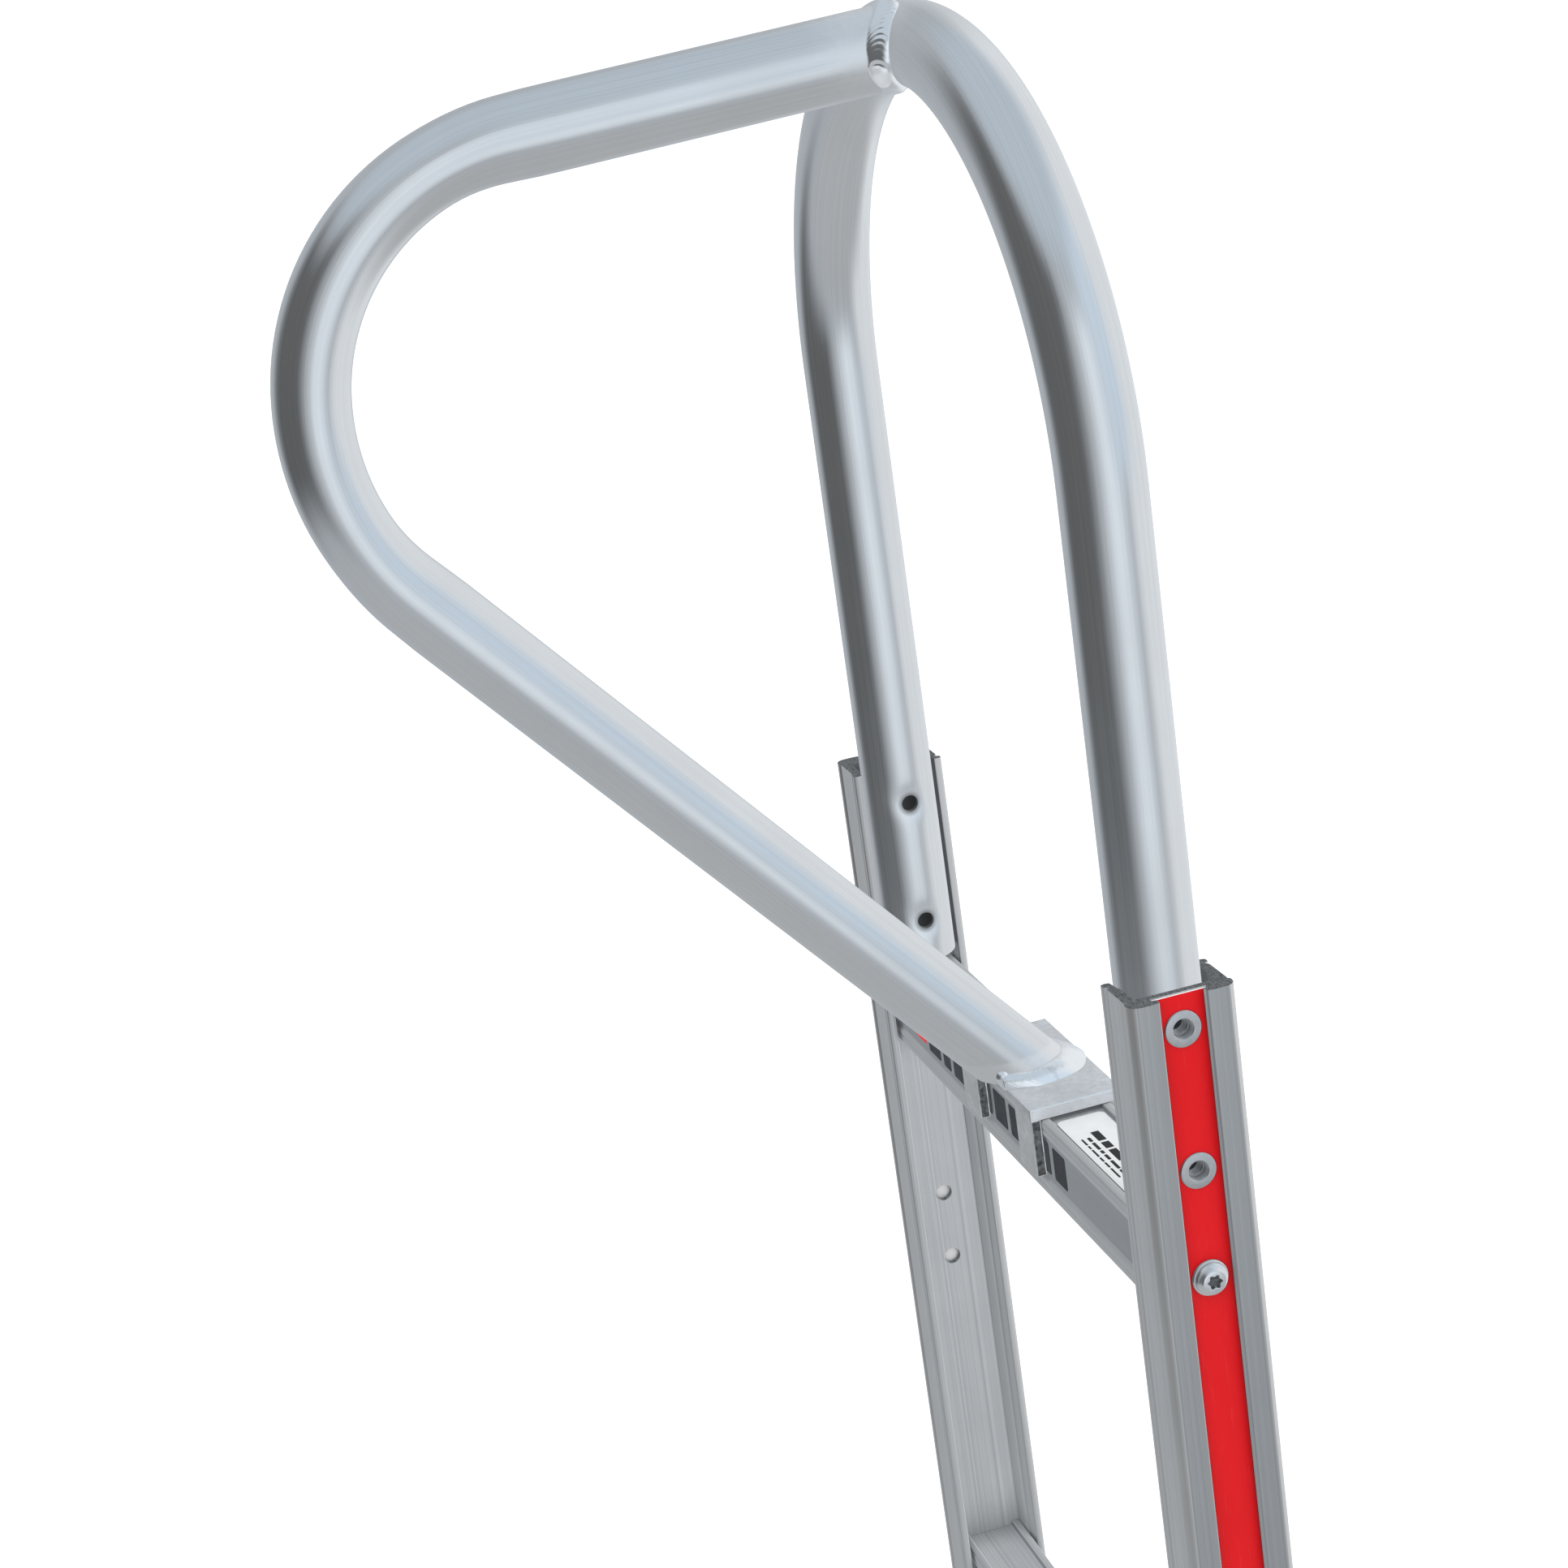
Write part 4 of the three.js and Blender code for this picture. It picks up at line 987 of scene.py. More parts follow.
def member_outline():
    """A box with a recess in each face, and a fine groove along each side bead."""
    h = MEMBER_HEIGHT / 2
    w = MEMBER_HALF
    quarter = [
        (w - 1.4, h - 7.4, 0.5),
        (w - 0.1, h - 6.2, 0.6),
        (w, h - 4.1, 0),
        (w - 0.5, h - 3.7, 0),
        (w, h - 3.3, 0),
        (w, h, 1.0),
        (w - 3.6, h, 0.7),
        (w - 4.3, h - 2, 0.5),
    ]
    upper = quarter + [(-u, v, r) for u, v, r in reversed(quarter)]
    return rounded(upper + [(u, -v, r) for u, v, r in reversed(upper)], 4)


def member_hollow(sign):
    w = MEMBER_HALF - 3.8
    top = MEMBER_HEIGHT / 2 - 4.4
    rib = 1.2
    boss = 5.6
    start = math.asin(rib / boss)
    arc = spaced(start, math.pi - start, 0.3)
    points = [(w, rib)] + [(boss * math.cos(a), boss * math.sin(a)) for a in arc]
    points += [(-w, rib), (-w, top), (w, top)]
    return [(u, sign * v) for u, v in points]


def cross_member(level):
    end = WEB_IN - GAP
    z = LEVEL_ZS[level]
    angles = spaced(0, 2 * math.pi, 0.3)[:-1]
    bore = [(SCREW_HOLE_R * math.cos(a), SCREW_HOLE_R * math.sin(a)) for a in angles]
    hollows = [member_hollow(1), member_hollow(-1), bore]

    def at_level(u, v, w):
        return (w, u, v + z)

    obj = prism(f"member_{level}", member_outline(), -end, end, at_level, hollows)
    floor = (MEMBER_HALF - 1.3) * MM
    # The recessed faces, marked to be painted darker as shade.
    mark(obj, "recess", lambda p: abs(p.normal.y) > 0.9 and abs(p.center.y - MIDDLE_Y) < floor)
    return obj


def plate(name, x0, x1, z0, z1, radius, start, end, to, coloured):
    """A thin plate with rounded corners, marked as coloured or not."""
    outline = rounded([(x0, z0, radius), (x1, z0, radius), (x1, z1, radius), (x0, z1, radius)], 6)
    obj = prism(name, outline, start, end, to)
    mark(obj, "coloured", lambda polygon: coloured)
    return obj


def capacity_label():
    """A white label with plain bars and rules printed on it, across the member's top recess."""
    low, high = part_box("capacity_label")
    bottom = low.z / MM
    top = high.z / MM
    x0, x1 = low.x / MM, high.x / MM
    half = (high.y - low.y) / 2 / MM
    sheet = plate("label_sheet", x0, x1, -half, half, 2.6, bottom, top, along_z, False)
    ink = top + 0.03
    bars = []
    for start, step, low_y, high_y, lengths in (
        (16, 1.6, -1.6, 1.8, (9, 6, 11, 7, 8, 5)),
        (20, 1.1, 3.6, 5.0, (4, 7, 3, 5, 8, 4)),
        (20, 0.9, 6.6, 7.5, (6, 3, 7, 4, 5, 9)),
    ):
        x = x1 - start
        for length in lengths:
            bars.append((x - length, x, low_y, high_y, 0.35))
            x -= length + step
    pieces = [plate("bar", a, b, c, d, r, top - 0.05, ink, along_z, True) for a, b, c, d, r in bars]
    return merged([sheet, *pieces])


def member_marks():
    """Plain black blocks and one red one, in the recess of the top member's rear face."""
    face = MEMBER_HALF - 1.4
    back, front = face - 0.1, face + 0.15
    z = LEVEL_ZS["top"]
    half = 7.2
    space = 4.2
    x = 104.0
    blocks = [plate("mark", x + 4, x + 18, z - 6, z + 6, 1.2, back, front, along_y, True)]
    for width in (15, 9, 13, 17, 8, 14, 11, 16, 9, 13):
        low, high = z - half, z + half
        blocks.append(plate("mark", x - width, x, low, high, 1.0, back, front, along_y, False))
        x -= width + space
    first = blocks[0]
    merged(blocks)
    first.name = "member_marks"
    return first


# Rails ------------------------------------------------------------------------------------------


def rail_outline():
    """Half of the section, from the outboard slot to the inboard channel, and its mirror image."""
    flat = BEAD_FACE - 0.7
    half = [
        (WEB_OUT, SLOT_HALF, 0.3),
        (LIP_BACK, SLOT_HALF, 0.3),
        (LIP_BACK, SLOT_MOUTH, 0.3),
        (RAIL_OUT - 0.5, SLOT_MOUTH, 0.8),
        (RAIL_OUT, 12.0, 1.6),
        (RAIL_OUT - 0.1, 16.2, 2),
        (RAIL_OUT - 0.4, BEAD_FACE, 4.2),
        (162.6, BEAD_FACE, 1.2),
        (161.6, flat - 0.1, 0.5),
        (160.6, flat, 0),
        (146.2, flat, 0.3),
        (145.5, flat - 0.9, 0.3),
        (144.1, flat - 0.9, 0.3),
        (143.5, BEAD_FACE - 0.1, 0.3),
        (141.0, BEAD_FACE, 0.9),
        (RAIL_TIP, 18.9, 0.9),
        (RAIL_TIP + 0.4, 17.0, 0.7),
        (147.0, 16.5, 0.4),
        (147.6, 16.0, 0.4),
        (WEB_IN, 15.5, 0.8),
    ]
    mirror = [(u, -v, r) for u, v, r in reversed(half)]
    return rounded(half + mirror, 5)


def side_rail(side, sign):
    obj = prism(f"rail_{side}", rail_outline(), RAIL_BOTTOM, RAIL_TOP, across(sign))
    through = sorted((sign * (WEB_IN - 4), sign * (WEB_OUT + 3)))
    cutters = [
        pins(about_x, [(0, 0, z) for z in SLEEVE_ZS], SLEEVE_HOLE_R, *through),
        pins(about_x, [(0, 0, z) for z in ACCESSORY_ZS], ACCESSORY_HOLE_R, *through),
        pins(about_x, [(0, 0, z) for z in LEVEL_ZS.values()], SCREW_HOLE_R, *through),
    ]
    for bolt_zs, start, end in ((NOSE_BOLT_ZS, -30, -5), (BRACKET_BOLT_ZS, 5, 30)):
        centres = [(sign * FLANGE_BOLT_X, 0, z) for z in bolt_zs]
        cutters.append(pins(about_y, centres, BOLT_HOLE_R, start, end))
    obj = combined(obj, [merged(cutters)])
    outboard = (RAIL_OUT - 0.6) * MM
    # The lips' outermost faces, marked recess to be painted darker as shade.
    mark(obj, "recess", lambda p: abs(p.normal.x) > 0.8 and abs(p.center.x) > outboard)
    return obj


def rail_strip(side, sign):
    low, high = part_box(f"rail_strip_{side}")
    outline = [
        (STRIP_FROM, -STRIP_HALF, 0.1),
        (STRIP_TO, -STRIP_HALF, 0.15),
        (STRIP_TO, STRIP_HALF, 0.15),
        (STRIP_FROM, STRIP_HALF, 0.1),
    ]
    ends = (low.z / MM, high.z / MM)
    obj = prism(f"strip_{side}", rounded(outline, 3), *ends, across(sign))
    through = sorted((sign * (STRIP_FROM - 2), sign * (STRIP_TO + 2)))
    cutters = [
        pins(about_x, [(0, 0, z) for z in SLEEVE_ZS], SLEEVE_HOLE_R, *through),
        pins(about_x, [(0, 0, z) for z in LEVEL_ZS.values()], SCREW_HOLE_R, *through),
    ]
    combined(obj, [merged(cutters)])
    mark(obj, "coloured", lambda polygon: polygon.normal.x * sign > 0.8)
    return obj


# Fasteners --------------------------------------------------------------------------------------


def sleeve(side, sign, index):
    """A flanged sleeve. Its bore has a step, and its edges are chamfered."""
    face = STRIP_TO + 0.8
    profile = [
        (3.1, face - 8.6),
        (3.1, face - 4.6),
        (3.5, face - 4.2),
        (3.95, face - 4.2),
        (3.95, face - 0.3),
        (4.2, face),
        (6.6, face),
        (6.8, face - 0.08),
        (7.0, face - 0.35),
        (7.0, face - 0.7),
        (4.8, face - 0.7),
        (4.8, face - 8.3),
        (4.5, face - 8.6),
    ]
    return turned(
        f"sleeve_{side}_{index}",
        [(r, sign * h) for r, h in profile],
        about_x,
        (0, 0, SLEEVE_ZS[index - 1]),
        72,
        closed=True,
        sharp=24,
    )


def star_screw(side, sign, level):
    """A washer and a stepped pan head with a six-lobed socket."""
    seat = STRIP_TO + 0.1
    profile = [
        (0, seat - 20),
        (1.8, seat - 20),
        (2.6, seat - 18.6),
        (2.6, seat),
        (6.8, seat),
        (7.0, seat + 0.2),
        (7.0, seat + 0.95),
        (6.75, seat + 1.2),
        (6.2, seat + 1.2),
        (6.2, seat + 1.5),
        (6.3, seat + 1.7),
        (6.3, seat + 2.3),
        (6.0, seat + 2.9),
        (5.4, seat + 3.3),
        (5.1, seat + 3.6),
        (4.95, seat + 4.4),
        (4.5, seat + 4.85),
        (3.9, seat + 5.0),
        (star(2.75, 0.38), seat + 5.0),
        (star(2.6, 0.38), seat + 4.8),
        (star(2.55, 0.38), seat + 2.9),
        (star(1.4, 0.2), seat + 2.5),
        (0, seat + 2.3),
    ]
    centre = (0, 0, LEVEL_ZS[level])
    placed = [(r, sign * h) for r, h in profile]
    obj = turned(f"screw_{side}_{level}", placed, about_x, centre, 96, sharp=28)
    floor, face = (seat + 2) * MM, (seat + 4.7) * MM
    # The socket's faces, marked to be painted dark as shade.
    mark(obj, "socket", lambda p: floor < abs(p.center.x) < face and reach_of(p, centre) < 3.1)
    return obj


def reach_of(polygon, centre):
    """How far a face is from an axis across the truck, in millimetres."""
    off = polygon.center - in_frame(centre)
    return math.hypot(off.y, off.z) / MM


def hex_stack(name, about, centre, head, shank, nut):
    """A hexagon head, a round shank and a nut in a row. Each is given as (from, to), head first."""
    way = 1 if head[1] > head[0] else -1
    hexed = hexagon(10.4)
    profile = [
        (0, nut[1]),
        (3.0, nut[1]),
        (3.4, nut[1] + way * 0.4),
        (trimmed(hexed, 5.3), nut[1] + way * 0.4),
        (hexed, nut[1] + way * 1.0),
        (hexed, nut[0] - way * 0.6),
        (trimmed(hexed, 5.4), nut[0]),
        (3.0, nut[0]),
        (3.0, shank),
        (trimmed(hexed, 5.5), head[0]),
        (hexed, head[0] + way * 0.5),
        (hexed, head[1] - way * 0.7),
        (trimmed(hexed, 5.3), head[1]),
        (4.4, head[1]),
        (4.2, head[1] - way * 0.25),
        (0, head[1] - way * 0.25),
    ]
    return turned(name, profile, about, centre, 72, sharp=26)


def flange_bolt(name, sign, z, head_face, nut_face):
    """A bolt through a rail's flange, head outside and nut in the channel."""
    way = 1 if head_face > 0 else -1
    head = (head_face + way * 0.15, head_face + way * 4.1)
    nut = (nut_face, nut_face - way * 6.4)
    return hex_stack(name, about_y, (sign * FLANGE_BOLT_X, 0, z), head, head_face, nut)


def washer(name, start, way):
    profile = [(AXLE_R + GAP, 0), (13.6, 0), (14, 0.4), (14, 1.6), (13.6, 2), (AXLE_R + GAP, 2)]
    placed = [(r, start + way * h) for r, h in profile]
    return turned(name, placed, about_x, (0, AXLE_Y, WHEEL_R), 72, closed=True)


def cotter(side, sign):
    """A split pin: two half-round legs side by side, an eye, and tails bent apart."""
    x = sign * COTTER_X
    top = WHEEL_R + AXLE_R
    bottom = WHEEL_R - AXLE_R
    eye_z = top + 5.2
    eye_r = 3.2
    leg_off = 0.75
    bend_z = bottom - 1.2
    legs = []
    for way in (1, -1):
        path = [Vector((x, AXLE_Y + way * leg_off, z)) for z in (top + 2, top, bottom, bend_z)]
        for t in spaced(0.3, 1.35, 0.26):
            y = AXLE_Y + way * (leg_off + 5.5 * math.sin(t))
            path.append(Vector((x, y, bend_z - 3.4 * (1 - math.cos(t)))))
        loop = [
            Vector((x, AXLE_Y + way * eye_r * math.sin(t), eye_z - eye_r * math.cos(t)))
            for t in spaced(0.35, math.pi, 0.31)
        ]
        legs.append(wire("leg", loop[::-1] + path, 0.72))
    obj = merged(legs)
    obj.name = f"cotter_{side}"
    return obj


def wire(name, path, radius, sides=14):
    """A round wire along points."""
    rings = []
    for i, point in enumerate(path):
        ahead = (path[min(i + 1, len(path) - 1)] - path[max(i - 1, 0)]).normalized()
        across = Vector((1, 0, 0))
        up = ahead.cross(across).normalized()
        rings.append(
            [
                point + across * radius * math.cos(a) + up * radius * math.sin(a)
                for a in (2 * math.pi * k / sides for k in range(sides))
            ]
        )
    ends = [[path[0]] * sides, [path[-1]] * sides]
    return new_object(name, *skin([ends[0], *rings, ends[1]]), sharp=50)


# Nose plate and axle brackets -------------------------------------------------------------------

NOSE_LOW, NOSE_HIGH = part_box("nose_plate")
HEEL_BACK = (NOSE_HIGH.y - MIDDLE_Y) / MM
NOSE_FRONT = (NOSE_LOW.y - MIDDLE_Y) / MM
NOSE_HALF = NOSE_HIGH.x / MM
HEEL_HEIGHT = NOSE_HIGH.z / MM
NOSE_THICK = 6.0


def nose_plate():
    """An L-shaped plate with a filleted heel, a thinned front edge and rounded front corners."""
    heel_front = HEEL_BACK - NOSE_THICK
    section = [
        (HEEL_BACK, 0, 1.6),
        (HEEL_BACK, HEEL_HEIGHT, 1.2),
        (heel_front, HEEL_HEIGHT, 1.2),
        (heel_front, NOSE_THICK, 7),
        (NOSE_FRONT + 34, NOSE_THICK, 4),
        (NOSE_FRONT, 4, 1.4),
        (NOSE_FRONT, 0, 0.9),
    ]
    body = prism("nose_body", rounded(section, 6), -NOSE_HALF, NOSE_HALF, along_x)
    corner = 28
    plan = [
        (-NOSE_HALF, HEEL_BACK + 5, 0),
        (-NOSE_HALF, NOSE_FRONT, corner),
        (NOSE_HALF, NOSE_FRONT, corner),
        (NOSE_HALF, HEEL_BACK + 5, 0),
    ]
    cutter = prism("plan", rounded(plan, 12), -10, HEEL_HEIGHT + 10, along_z)
    combined(body, [cutter], "INTERSECT")
    centres = [(sign * FLANGE_BOLT_X, 0, z) for _, sign in SIDES for z in NOSE_BOLT_ZS]
    combined(body, [pins(about_y, centres, BOLT_HOLE_R, -60, 0)])
    bevelled(body, 0.6, 2, 60)
    mark_edges(body, 0.6)
    return body


def tangent(point, centre, radius, sign):
    """Where a line from a point touches a circle, on one side of it."""
    arm = Vector(point) - Vector(centre)
    angle = math.atan2(arm.y, arm.x) + sign * math.acos(radius / arm.length)
    return (centre[0] + radius * math.cos(angle), centre[1] + radius * math.sin(angle))


def axle_bracket():
    """A cast bracket: a plate on the rail's rear flange, a rib behind it and an axle boss."""
    low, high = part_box("axle_bracket_left")
    front = (low.y - MIDDLE_Y) / MM
    z0, z1 = low.z / MM, high.z / MM
    x0, x1 = low.x / MM, high.x / MM
    back = front + BRACKET_PLATE
    body = block("bracket_left", (x0, front, z0), (RAIL_OUT, back, z1))
    centre = (AXLE_Y, WHEEL_R)
    upper, lower = (back - 1, z1 - 4), (back - 1, z0 + 4)
    outline = [
        upper,
        lower,
        tangent(lower, centre, 17.6, 1),
        tangent(upper, centre, 17.6, -1),
    ]
    rib = prism("rib", outline, RAIL_OUT - 8, RAIL_OUT, along_x)
    rim = [(0, RAIL_OUT - 18), (19, RAIL_OUT - 18), (19, x1), (0, x1)]
    boss = turned("boss", rim, about_x, (0, *centre), 72)
    combined(body, [rib, boss], "UNION")
    remesh = body.modifiers.new("remesh", "REMESH")
    remesh.mode = "VOXEL"
    remesh.voxel_size = 1.15 * MM
    smooth = body.modifiers.new("smooth", "SMOOTH")
    smooth.iterations = 5
    bake(body, 180)
    cutters = [
        pins(about_x, [(0, *centre)], AXLE_R + GAP, 100, 250, 64),
        pins(about_y, [(FLANGE_BOLT_X, 0, z) for z in BRACKET_BOLT_ZS], BOLT_HOLE_R, 10, 40),
    ]
    combined(body, [merged(cutters)], sharp=50)
    return body


# Wheels -----------------------------------------------------------------------------------------


def axle():
    """A plain round bar with chamfered ends, cross-drilled for the cotter pins."""
    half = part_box("axle")[1].x / MM
    profile = [(0, -half), (AXLE_R - 1, -half), (AXLE_R, -half + 1), (AXLE_R, half - 1)]
    profile += [(AXLE_R - 1, half), (0, half)]
    obj = turned("axle_bar", profile, about_x, (0, AXLE_Y, WHEEL_R), 72)
    centres = [(sign * COTTER_X, AXLE_Y, 0) for _, sign in SIDES]
    return combined(obj, [pins(about_z, centres, 2, WHEEL_R - 20, WHEEL_R + 20)])


TREAD_PITCH = 30  # blocks round the tyre
TREAD_DEPTH = 2.6
TREAD_GROOVES = ((9.5, 1.6), (21.5, 1.4))  # (place across, half width) of each groove
TREAD_HALF = 27.8
TREAD_ROUND = 3.6  # how much smaller the tyre is at the edges of its tread


def tread_depth(x, angle):
    """How deep the tread is cut at a place across the tyre and round it."""
    across = abs(x)
    grooves = 0.0
    for centre, half in TREAD_GROOVES:
        grooves = max(grooves, min(1.0, max(0.0, (half - abs(across - centre)) / 0.6)))
    stagger = 0.5 if across < TREAD_GROOVES[0][0] else 0.0
    phase = (angle / (2 * math.pi) * TREAD_PITCH + stagger + 0.05 * across / 3) % 1.0
    sipe = min(1.0, max(0.0, (0.10 - abs(phase - 0.5)) / 0.035)) if across > 11 else 0.0
    return TREAD_DEPTH * max(grooves, sipe)


def tyre(side, sign):
    """A pneumatic tyre: grooved tread, rounded shoulders, rings on the sidewalls."""
    around = 420
    profile = tyre_profile()
    rings = []
    for k in range(around):
        angle = 2 * math.pi * k / around
        ring = []
        for radius, x, tread in profile:
            reach = radius - tread_depth(x, angle) * tread
            y = AXLE_Y + reach * math.cos(angle)
            ring.append((sign * (WHEEL_X + x), y, WHEEL_R + reach * math.sin(angle)))
        rings.append(ring)
    obj = new_object(f"tyre_body_{side}", *skin(rings, closed=True), sharp=42)
    mark(obj, "tread", lambda p: reach_of(p, (0, AXLE_Y, WHEEL_R)) > WHEEL_R - 9)
    return obj


def tyre_profile():
    """(radius, x, share of the tread's depth) round the tyre's section: out over the tread from
    one bead to the other, and back inside."""
    half = [
        (51.1, 34.2),
        (56.5, 34.4),
        (59.5, 35.6),
        (62.5, 38.0),
        (64.0, 38.4),
        (66.0, 40.6),
        (72.0, 42.6),
        (78.0, 43.9),
        (84.0, 44.4),
        (89.0, 44.4),
        (90.0, 44.45),
        (92.0, 44.45),
        (93.0, 44.0),
        (98.0, 43.6),
        (104.0, 42.3),
        (110.0, 39.8),
        (115.0, 36.4),
        (118.5, 32.8),
        (121.0, 29.0),
    ]
    crown = []
    for x in spaced(TREAD_HALF, -TREAD_HALF, -0.78):
        crown.append((WHEEL_R - TREAD_ROUND * (abs(x) / TREAD_HALF) ** 2.2, x))
    points = [(r, x, 0.0) for r, x in half]
    points += [(r, x, 1.0 if abs(x) < 27.4 else 0.4) for r, x in crown]
    points += [(r, -x, 0.0) for r, x in reversed(half)]
    inner = [(51.1, 24), (60, 31), (72, 35.2), (86, 36), (100, 33), (112, 24), (116, 12)]
    points += [(r, -x, 0.0) for r, x in inner]
    points += [(r, x, 0.0) for r, x in reversed(inner)]
    return points


def rim(side, sign, outer):
    """One pressed half of the rim, from the wheel's middle plane out to its flange."""
    sleeve_r = BEARING_R + 4
    seat = HUB_HALF - 11.5
    section = [
        (11, 0.2, 0),
        (50.7, 0.2, 2.4),
        (50.7, 34.6, 2.5),
        (58, 35.4, 0.8),
        (58, 38, 1.1),
        (48, 37, 3.4),
        (46.8, 3.4, 4.5),
        (39, 3.0, 3),
        (30, 5.4, 4),
        (sleeve_r + 3, 3.8, 3.0),
        (sleeve_r, HUB_HALF, 0.9),
        (BEARING_R + GAP, HUB_HALF, 0.6),
        (BEARING_R + GAP, seat, 0),
        (11, seat, 0),
    ]
    way = sign if outer else -sign
    profile = [(r, way * h) for r, h in rounded(section, 5)]
    centre = (sign * WHEEL_X, AXLE_Y, WHEEL_R)
    name = "outer" if outer else "inner"
    obj = turned(f"rim_{name}_{side}", profile, about_x, centre, 120, closed=True)
    holes = [rim_bolt_at(sign, i) for i in range(RIM_BOLTS)]
    start, end = sorted((way * -1.0, way * 12.0))
    return combined(obj, [pins(about_x, holes, BOLT_HOLE_R, start, end)])


def rim_bolt_at(sign, index):
    angle = math.radians(90) + 2 * math.pi * index / RIM_BOLTS
    y = AXLE_Y + RIM_BOLT_CIRCLE * math.cos(angle)
    return (sign * WHEEL_X, y, WHEEL_R + RIM_BOLT_CIRCLE * math.sin(angle))


def rim_bolt(side, sign, index):
    head = (sign * 5.2, sign * 9.2)
    nut = (-sign * 5.2, -sign * 11)
    name = f"wheel_bolt_{side}_{index + 1}"
    return hex_stack(name, about_x, rim_bolt_at(sign, index), head, sign * 5.0, nut)


def bearing(side, sign, outer):
    """A ball bearing's rings with a pressed shield between them."""
    way = sign if outer else -sign
    face = HUB_HALF
    profile = [
        (AXLE_R + GAP, face - 11),
        (BEARING_R, face - 11),
        (BEARING_R, face - 0.5),
        (BEARING_R - 0.6, face),
        (BEARING_R - 2.4, face),
        (BEARING_R - 2.6, face - 0.7),
        (BEARING_R - 5.4, face - 0.4),
        (AXLE_R + 2.6, face - 0.7),
        (AXLE_R + 2.4, face + 0.4),
        (AXLE_R + 0.6, face + 0.4),
        (AXLE_R + GAP, face + 0.1),
    ]
    name = "outer" if outer else "inner"
    centre = (sign * WHEEL_X, AXLE_Y, WHEEL_R)
    placed = [(r, way * h) for r, h in profile]
    return turned(f"bearing_{name}_of_{side}", placed, about_x, centre, 72, closed=True, sharp=25)


def valve(side, sign):
    """A rubber valve with a ribbed cap, on the inside of the rim's barrel and leaning outwards."""
    lean = math.radians(38)
    foot = Vector((sign * (WHEEL_X + 18), AXLE_Y, WHEEL_R - 43.4))
    along = Vector((sign * math.sin(lean), 0, math.cos(lean)))
    across = Vector((0, 1, 0))
    side_way = along.cross(across)

    def about(radius, angle, height):
        arm = across * math.cos(angle) + side_way * math.sin(angle)
        return arm * radius + along * height

    def ribbed(angle):
        return 2.9 + 0.12 * math.cos(16 * angle)

    profile = [
        (0, 0),
        (4.4, 0),
        (4.6, 0.5),
        (4.5, 2.4),
        (3.4, 4.2),
        (3.0, 6.5),
        (2.8, 14),
        (2.4, 14.4),
        (2.4, 15.0),
        (ribbed, 15.2),
        (ribbed, 22.8),
        (2.4, 23.8),
        (0, 24),
    ]
    return turned(f"valve_{side}", profile, about, foot, 64, sharp=40)


# Floor, lights, camera --------------------------------------------------------------------------

CAMERA_AT = Vector((-1103.6, 373.8, RAIL_TOP + 434.7))
CAMERA_HEADING = math.radians(104.465)  # from +y towards +x
CAMERA_FALL = math.radians(18.509)
CAMERA_ROLL = math.radians(8.477)
CAMERA_LENS = 70.708
FLOOR_HALF = 60000
SUN_ENERGY = 0.9
SUN_SPREAD = math.radians(50)
SUN_TURN = (math.radians(-16), math.radians(-30), 0)


def make_camera():
    data = bpy.data.cameras.new("camera")
    data.lens = CAMERA_LENS
    data.sensor_width = 36.0
    data.clip_end = 200.0
    camera = bpy.data.objects.new("camera", data)
    bpy.context.scene.collection.objects.link(camera)
    ahead = Vector(
        (
            math.sin(CAMERA_HEADING) * math.cos(CAMERA_FALL),
            math.cos(CAMERA_HEADING) * math.cos(CAMERA_FALL),
            -math.sin(CAMERA_FALL),
        )
    )
    level = ahead.cross(Vector((0, 0, 1))).normalized()
    right = level * math.cos(CAMERA_ROLL) - level.cross(ahead) * math.sin(CAMERA_ROLL)
    up = right.cross(ahead)
    turn = Matrix((right, up, -ahead)).transposed()
    camera.matrix_world = Matrix.Translation(in_frame(CAMERA_AT)) @ turn.to_4x4()
    bpy.context.scene.camera = camera


def make_floor():
    look = Look("pale_floor", metallic=0.0)
    cloud = look.noise(look.place(0.4, 0.4, 0.4), 3.0)
    look.finish(look.mix(cloud, (0.90, 0.90, 0.90, 1.0), (0.92, 0.92, 0.92, 1.0)), 0.8)
    ends = (-FLOOR_HALF, FLOOR_HALF)
    points = [(x, y, 0) for y in ends for x in ends]
    floor = new_object("floor", points, [(0, 1, 3, 2)])
    floor.data.materials.append(look.material)
    floor.visible_glossy = False


# What the metal mirrors: pale walls, with soft-edged panels hung in front of them in this order.
# A panel's place and half width are degrees round the truck, from the camera's side towards its
# right. It runs between two heights of the direction, from -1 straight down to 1 straight up.
WALLS = {"level": 0.5, "blue": 0.3}
PANELS = (
    {"at": 115, "half": 35, "low": -1.0, "high": 1.0, "level": 0.85, "blue": 0.0},  # window
    {"at": -75, "half": 30, "low": -0.3, "high": 0.5, "level": 0.13, "blue": 0.0},  # dark flag
    {"at": 20, "half": 5, "low": -0.3, "high": 0.4, "level": 0.9, "blue": 0.3},  # front box
    {"at": 55, "half": 8, "low": 0.0, "high": 1.0, "level": 0.75, "blue": 0.9},  # cool box
    {"at": 0, "half": 180, "low": 0.9, "high": 1.0, "level": 0.6, "blue": 0.8},  # ceiling
    {"at": 0, "half": 180, "low": -1.0, "high": -0.8, "level": 0.5, "blue": 0.0},  # ground
)
PANEL_EDGE = math.radians(35)
PANEL_EDGE_HEIGHT = 0.3
PLAIN_WHITE = (1.0, 1.0, 1.0, 1.0)
PLAIN_STRENGTH = 1.25


def tinted(level, blue):
    return (level * (0.96 - 0.11 * blue), level, level * (1.035 + 0.12 * blue), 1.0)


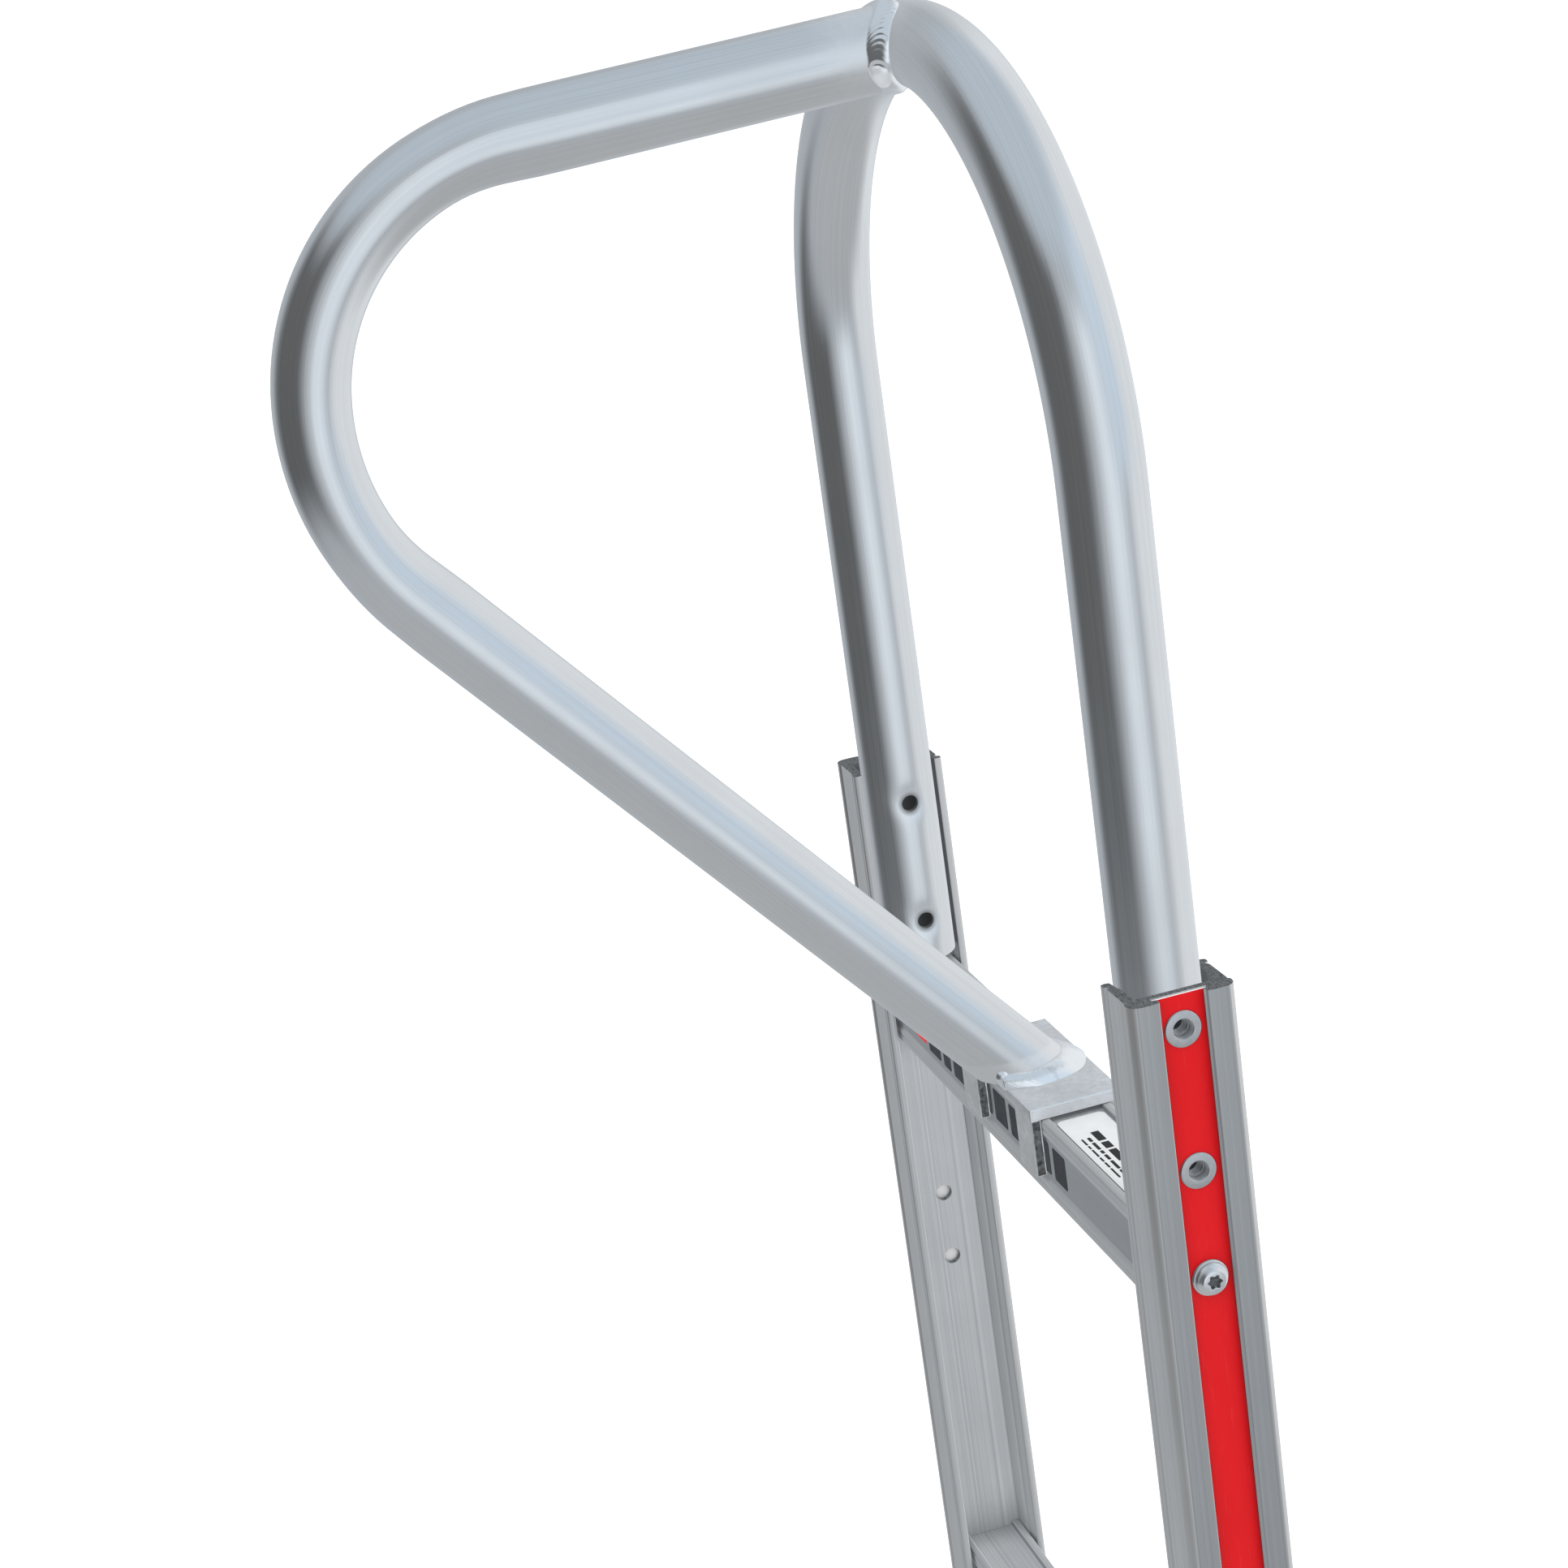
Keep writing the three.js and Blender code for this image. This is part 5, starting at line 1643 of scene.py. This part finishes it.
def make_world():
    """A soft studio for the metal to mirror, and plain white for the camera and for matt faces."""
    world = bpy.data.worlds.new("studio")
    bpy.context.scene.world = world
    world.use_nodes = True
    world.node_tree.nodes.clear()
    wiring = Wiring(world.node_tree)

    def step(value, low, high):
        """Rises smoothly from 0 to 1 between two values, or falls where the first is greater."""
        limits = {"Value": value, "From Min": low, "From Max": high}
        return wiring.add("MapRange", limits, interpolation_type="SMOOTHSTEP").outputs["Result"]

    def maths(operation, *values):
        return wiring.add("Math", dict(enumerate(values)), operation=operation).outputs[0]

    where = wiring.add("TexCoord", {}).outputs["Generated"]
    parts = wiring.add("SeparateXYZ", {0: where}).outputs
    azimuth = maths("ARCTAN2", parts["Y"], parts["X"])
    camera_side = math.pi / 2 - CAMERA_HEADING + math.pi

    colour = tinted(**WALLS)
    for panel in PANELS:
        away = maths("SUBTRACT", azimuth, camera_side + math.radians(panel["at"]))
        off = maths("ABSOLUTE", maths("WRAP", away, math.pi, -math.pi))
        half = math.radians(panel["half"])
        share = step(off, half + PANEL_EDGE, half)
        for end, past in (("low", -PANEL_EDGE_HEIGHT), ("high", PANEL_EDGE_HEIGHT)):
            share = wiring.times(share, step(parts["Z"], panel[end] + past, panel[end]))
        colour = wiring.mix(share, colour, tinted(panel["level"], panel["blue"]))
    studio = wiring.add("Background", {"Color": colour, "Strength": 1.0}).outputs[0]
    plain = wiring.add("Background", {"Color": PLAIN_WHITE, "Strength": PLAIN_STRENGTH}).outputs[0]
    glossy = wiring.add("LightPath", {}).outputs["Is Glossy Ray"]
    shader = wiring.add("MixShader", {0: glossy, 1: plain, 2: studio}).outputs[0]
    wiring.put(wiring.add("OutputWorld", {}).inputs["Surface"], shader)


def make_lights():
    """One very soft overhead light, for the floor and the painted and rubber pieces."""
    data = bpy.data.lights.new("overhead", "SUN")
    data.energy = SUN_ENERGY
    data.angle = SUN_SPREAD
    light = bpy.data.objects.new("overhead", data)
    light.rotation_euler = SUN_TURN
    light.visible_glossy = False
    bpy.context.scene.collection.objects.link(light)


# Assembly ---------------------------------------------------------------------------------------

bpy.context.scene.view_settings.view_transform = "Standard"
make_camera()
make_world()
make_lights()
make_floor()

grip, foot_y, foot_heading = grip_tube()
TUBE = tube_look(foot_y)
RAIL = extruded_look("rail_extrusion", (1000, 1000, 0.8), (230, 230, 0.4), "Z")
MEMBER = extruded_look("member_extrusion", (1, 1000, 1000), (0.5, 230, 230), "X")
SADDLE = blasted_look("blasted_saddle", 0.84, 0.97, 1500, 0.1)
CAST = blasted_look("cast_bracket", 0.58, 0.70, 900, 0.18)
NOSE = blasted_look("nose_casting", 0.60, 0.72, 700, 0.14)
RIM = blasted_look("pressed_rim", 0.64, 0.74, 1200, 0.05)
WELD = weld_look()
ZINC = plated_look("zinc_plate", 0.80, 0.12, 240)
SLEEVE = plated_look("sleeve_plate", 0.58, 0.3, 420)
STEEL = plated_look("bright_steel", 0.55, 0.24, 180)
STRIP = strip_look()
LABEL = printed_look("label_vinyl", (0.70, 0.72, 0.73, 1.0), (0.02, 0.02, 0.022, 1.0), 0.32)
MARKS = printed_look("mark_vinyl", (0.004, 0.004, 0.005, 1.0), (0.62, 0.01, 0.016, 1.0), 0.24)
TYRE = rubber_look("tyre_rubber", 0.02, 0.028)
VALVE = rubber_look("valve_rubber", 0.018, 0.03)

done(loop_tube(), TUBE, "tube_aluminium", "frame", "loop_handle")
done(grip, TUBE, "tube_aluminium", "frame", "grip_brace")
done(crown_bead(), WELD, "weld_bead", "frame", "crown_weld")
done(foot_bead(foot_y, foot_heading), WELD, "weld_bead", "frame", "foot_weld")
done(saddle(), SADDLE, "saddle_aluminium", "frame", "brace_saddle")
for level in LEVELS:
    done(cross_member(level), MEMBER, "extruded_aluminium", "frame", f"cross_member_{level}")
done(capacity_label(), LABEL, "label_white", "frame", "capacity_label")
done(member_marks(), MARKS, "label_white", "frame")
done(nose_plate(), NOSE, "nose_aluminium", "frame", "nose_plate")
done(axle(), STEEL, "axle_steel", "frame", "axle")

bracket = axle_bracket()
brackets = {"left": bracket, "right": mirrored(bracket, "bracket_right")}
rail_face = BEAD_FACE + GAP

for side, sign in SIDES:
    done(side_rail(side, sign), RAIL, "extruded_aluminium", "frame", f"side_rail_{side}")
    done(rail_strip(side, sign), STRIP, "strip_red", "frame", f"rail_strip_{side}")
    done(brackets[side], CAST, "cast_aluminium", "frame", f"axle_bracket_{side}")
    done(cotter(side, sign), ZINC, "screw_zinc", "frame", f"cotter_pin_{side}")
    for index in (1, 2):
        node = f"handle_sleeve_{side}_{index}"
        done(sleeve(side, sign, index), SLEEVE, "sleeve_zinc", "frame", node)
        z = NOSE_BOLT_ZS[index - 1]
        name = f"nose_screw_{side}_{index}"
        bolt = flange_bolt(name, sign, z, -rail_face - NOSE_THICK, -CHANNEL_FACE)
        done(bolt, ZINC, "screw_zinc", "frame", f"nose_bolt_{side}_{index}")
        z = BRACKET_BOLT_ZS[index - 1]
        name = f"bracket_screw_{side}_{index}"
        bolt = flange_bolt(name, sign, z, rail_face + BRACKET_PLATE, CHANNEL_FACE)
        done(bolt, ZINC, "screw_zinc", "frame", f"bracket_bolt_{side}_{index}")
    for level in LEVELS:
        node = f"member_screw_{side}_{level}"
        done(star_screw(side, sign, level), ZINC, "screw_zinc", "frame", node)
    for name, start in (("inner", WHEEL_X - HUB_HALF - 2.5), ("outer", WHEEL_X + HUB_HALF + 0.7)):
        ring = washer(f"washer_{side}_{name}", sign * start, sign)
        done(ring, ZINC, "screw_zinc", "frame", f"axle_washer_{side}_{name}")
    wheel = f"{side}_wheel"
    done(tyre(side, sign), TYRE, "tyre_rubber", wheel, f"tyre_{side}")
    for outer in (True, False):
        name = "outer" if outer else "inner"
        done(rim(side, sign, outer), RIM, "rim_aluminium", wheel, f"rim_{name}_{side}")
        ring = bearing(side, sign, outer)
        done(ring, STEEL, "axle_steel", wheel, f"bearing_{name}_{side}")
    for index in range(RIM_BOLTS):
        node = f"rim_bolt_{side}_{index + 1}"
        done(rim_bolt(side, sign, index), ZINC, "screw_zinc", wheel, node)
    done(valve(side, sign), VALVE, "valve_rubber", wheel, f"valve_stem_{side}")
